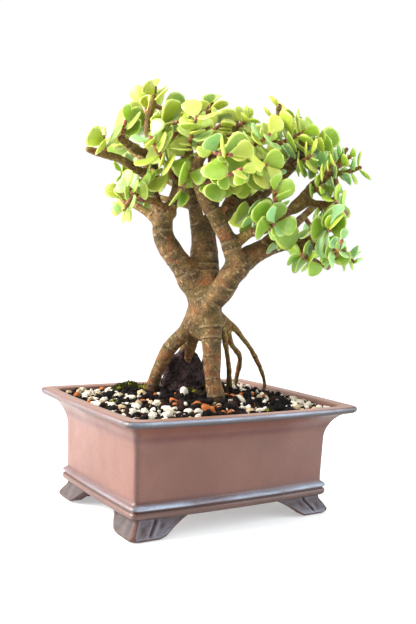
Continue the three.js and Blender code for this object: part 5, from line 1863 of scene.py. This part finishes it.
    def spray_skin(self, owner: int) -> Skin:
        """A spray's skin: its stem with a swelling at each node, and its leaves.

        Args:
            owner: the spray's number.

        Returns:
            The skin, with a tint for each leaf.
        """
        along, aside, above, margin, faces = self.template()
        mine = [leaf for leaf in self.leaves if leaf.owner == owner]
        skins = [self.stem_skin(owner)]
        for number, leaf in enumerate(mine):
            lottery = Lottery(Seed.LEAF_TINT + owner * 50 + number)
            tint = self.leaf_tint(leaf, lottery)
            half_width = leaf.length * self.width * 0.5
            half_thick = 0.5 + 0.028 * leaf.length
            bowl = leaf.length * (0.05 + 0.05 * lottery.draw())
            bend = leaf.length * (0.1 * lottery.draw() - 0.02)
            lift = -bowl * np.sin(np.pi * along ** 0.9) * (1 - aside ** 2) - bend * along ** 2
            points = (leaf.foot + along[:, None] * leaf.length * leaf.along
                      + aside[:, None] * half_width * leaf.aside
                      + (above * half_thick + lift)[:, None] * leaf.face)
            skins.append(Skin(points, faces, {"tint": np.tile(tint, (len(points), 1))},
                              {"edge": margin, "stem": np.zeros(len(points))}))
        return join_skins(skins)

    def stem_skin(self, owner: int) -> Skin:
        """A stem: a round tube on its arch, thinner toward the tip, red-brown with pale nodes."""
        pairs, sides = SPRAYS[owner][2], self.stem_sides
        t = np.linspace(0, 1, 6 * pairs + 1)
        path = np.array([self.on_stem(self.stems[owner], share) for share in t])
        nodes = self.first_node + self.nodes_over * (np.arange(pairs) + 1) / pairs
        swell = np.exp(-((t[:, None] - nodes[None]) / self.node_width) ** 2).max(1)
        radii = self.stem_radius - self.stem_taper * t + self.node_swell * swell
        points, faces = closed_net(tube_rings(path, radii, sides), path[0], path[-1])
        red, node, green = (np.array(c) for c in (self.stem_red, self.stem_node, self.stem_green))
        base = red + (green - red) * 0.6 * Lottery(Seed.STEM_MOOD + owner).draw()
        tint = base + (node - base) * (0.8 * swell)[:, None]
        tint = np.concatenate([np.repeat(tint, sides, 0), tint[[0, -1]]])
        zero = np.zeros(len(points))
        return Skin(points, faces, {"tint": tint}, {"edge": zero, "stem": zero + 1})

    def build(self, foliage: bpy.types.Material) -> None:
        """Adds every spray."""
        self.grow()
        for owner in range(len(SPRAYS)):
            name = f"spray_{owner + 1:02d}"
            add_piece(name + "_shoot", self.spray_skin(owner), foliage, "leaf", name)


# studio


@dataclass
class Studio:
    """Pale floor, soft light, and the camera at the photograph's place."""

    eye: tuple[float, float, float] = (-272.0, -434.0, 152.0)
    yaw: float = math.radians(32.67)
    pitch: float = math.radians(-2.81)
    roll: float = math.radians(2.59)
    focal_px: float = 788.0
    height_px: float = 624.0
    sensor: float = 36.0
    look_at: tuple[float, float, float] = (0.0, 0.0, 0.15)
    paper_half: float = 60.0
    brightness: float = 1.02

    def camera(self) -> None:
        """Adds the camera: the view direction from yaw and pitch, and the frame turned by the roll."""
        level = math.cos(self.pitch)
        forward = np.array([math.sin(self.yaw) * level, math.cos(self.yaw) * level, math.sin(self.pitch)])
        right = np.array([math.cos(self.yaw), -math.sin(self.yaw), 0.0])
        above = np.cross(right, forward)
        c, s = math.cos(self.roll), math.sin(self.roll)
        right, above = c * right + s * above, -s * right + c * above
        data = bpy.data.cameras.new("camera")
        data.sensor_width, data.sensor_fit = self.sensor, "AUTO"
        data.lens = self.focal_px * self.sensor / self.height_px
        data.clip_start = 0.01
        matrix = Matrix([[*row, 0.0] for row in zip(right, above, -forward)] + [[0.0, 0.0, 0.0, 1.0]])
        matrix.translation = Vector(to_metres(np.array(self.eye)))
        camera = set_out("camera", data)
        camera.matrix_world = matrix
        bpy.context.scene.camera = camera

    def softbox(self, name: str, at: tuple[float, float, float], side: float, watts: float,
                tint: Colour) -> None:
        """Adds a square soft light that looks at the tree."""
        data = bpy.data.lights.new(name, "AREA")
        data.size, data.energy, data.color = side, watts, tint
        lamp = set_out(name, data)
        lamp.location = at
        lamp.rotation_euler = (Vector(self.look_at) - Vector(at)).to_track_quat("-Z", "Y").to_euler()

    def paper(self) -> None:
        """Adds the floor: a very large flat white sheet that glows a little, so that shadows stay light."""
        half = self.paper_half
        corners = [(x * half, y * half, 0.0) for x, y in ((-1, -1), (1, -1), (1, 1), (-1, 1))]
        mesh = bpy.data.meshes.new("paper")
        mesh.from_pydata(corners, [], [(0, 1, 2, 3)])
        mesh.materials.append(Plain("paper", (0.63, 0.65, 0.65), 0.9, 2.0, 0.4).material())
        sheet = set_out("paper", mesh)

    def build(self) -> None:
        """Adds camera, floor and light."""
        self.camera()
        self.paper()
        self.softbox("key", (-0.75, 0.3, 0.42), 0.7, 26, (1.0, 0.98, 0.95))
        self.softbox("top", (-0.1, -0.1, 1.3), 0.9, 8, (1.0, 1.0, 1.0))
        self.softbox("fill", (1.0, -0.7, 0.5), 0.9, 12, (0.86, 0.93, 1.0))
        world = bpy.data.worlds.new("white")
        world.use_nodes = True
        sky = world.node_tree.nodes["Background"]
        sky.inputs["Color"].default_value = (1.0, 1.0, 1.0, 1)
        sky.inputs["Strength"].default_value = self.brightness
        bpy.context.scene.world = world
        bpy.context.scene.view_settings.view_transform = "Standard"


def main() -> None:
    """Builds every piece of the bonsai, then the studio."""
    pot = Pot()
    pot.build(Glaze().material())
    plastic = Plain("moulded_mesh", linear(52, 54, 53), 0.55, 0.6).material()
    DrainScreen(-pot.drain_apart, "drain_screen_left").build(plastic)
    DrainScreen(pot.drain_apart, "drain_screen_right").build(plastic)
    wood = Wood()
    wood.build(Bark().material())
    soil = Soil(pot)
    dark = Grit("dark_grit", linear(18, 14, 12), linear(8, 7, 6), 2.2, 0.8)
    soil.build(wood, dark.material(), Grit("grains", None, linear(206, 190, 166), 1.1, 0.4).material())
    Rock().build(Grit("lava", linear(82, 66, 66), linear(18, 14, 15), 3.2, 1.8).material())
    Moss(soil).build(Grit("moss", None, linear(170, 176, 140), 1.2, 0.2).material())
    Crown().build(Foliage().material())
    Studio().build()


if __name__ == "__main__":
    main()
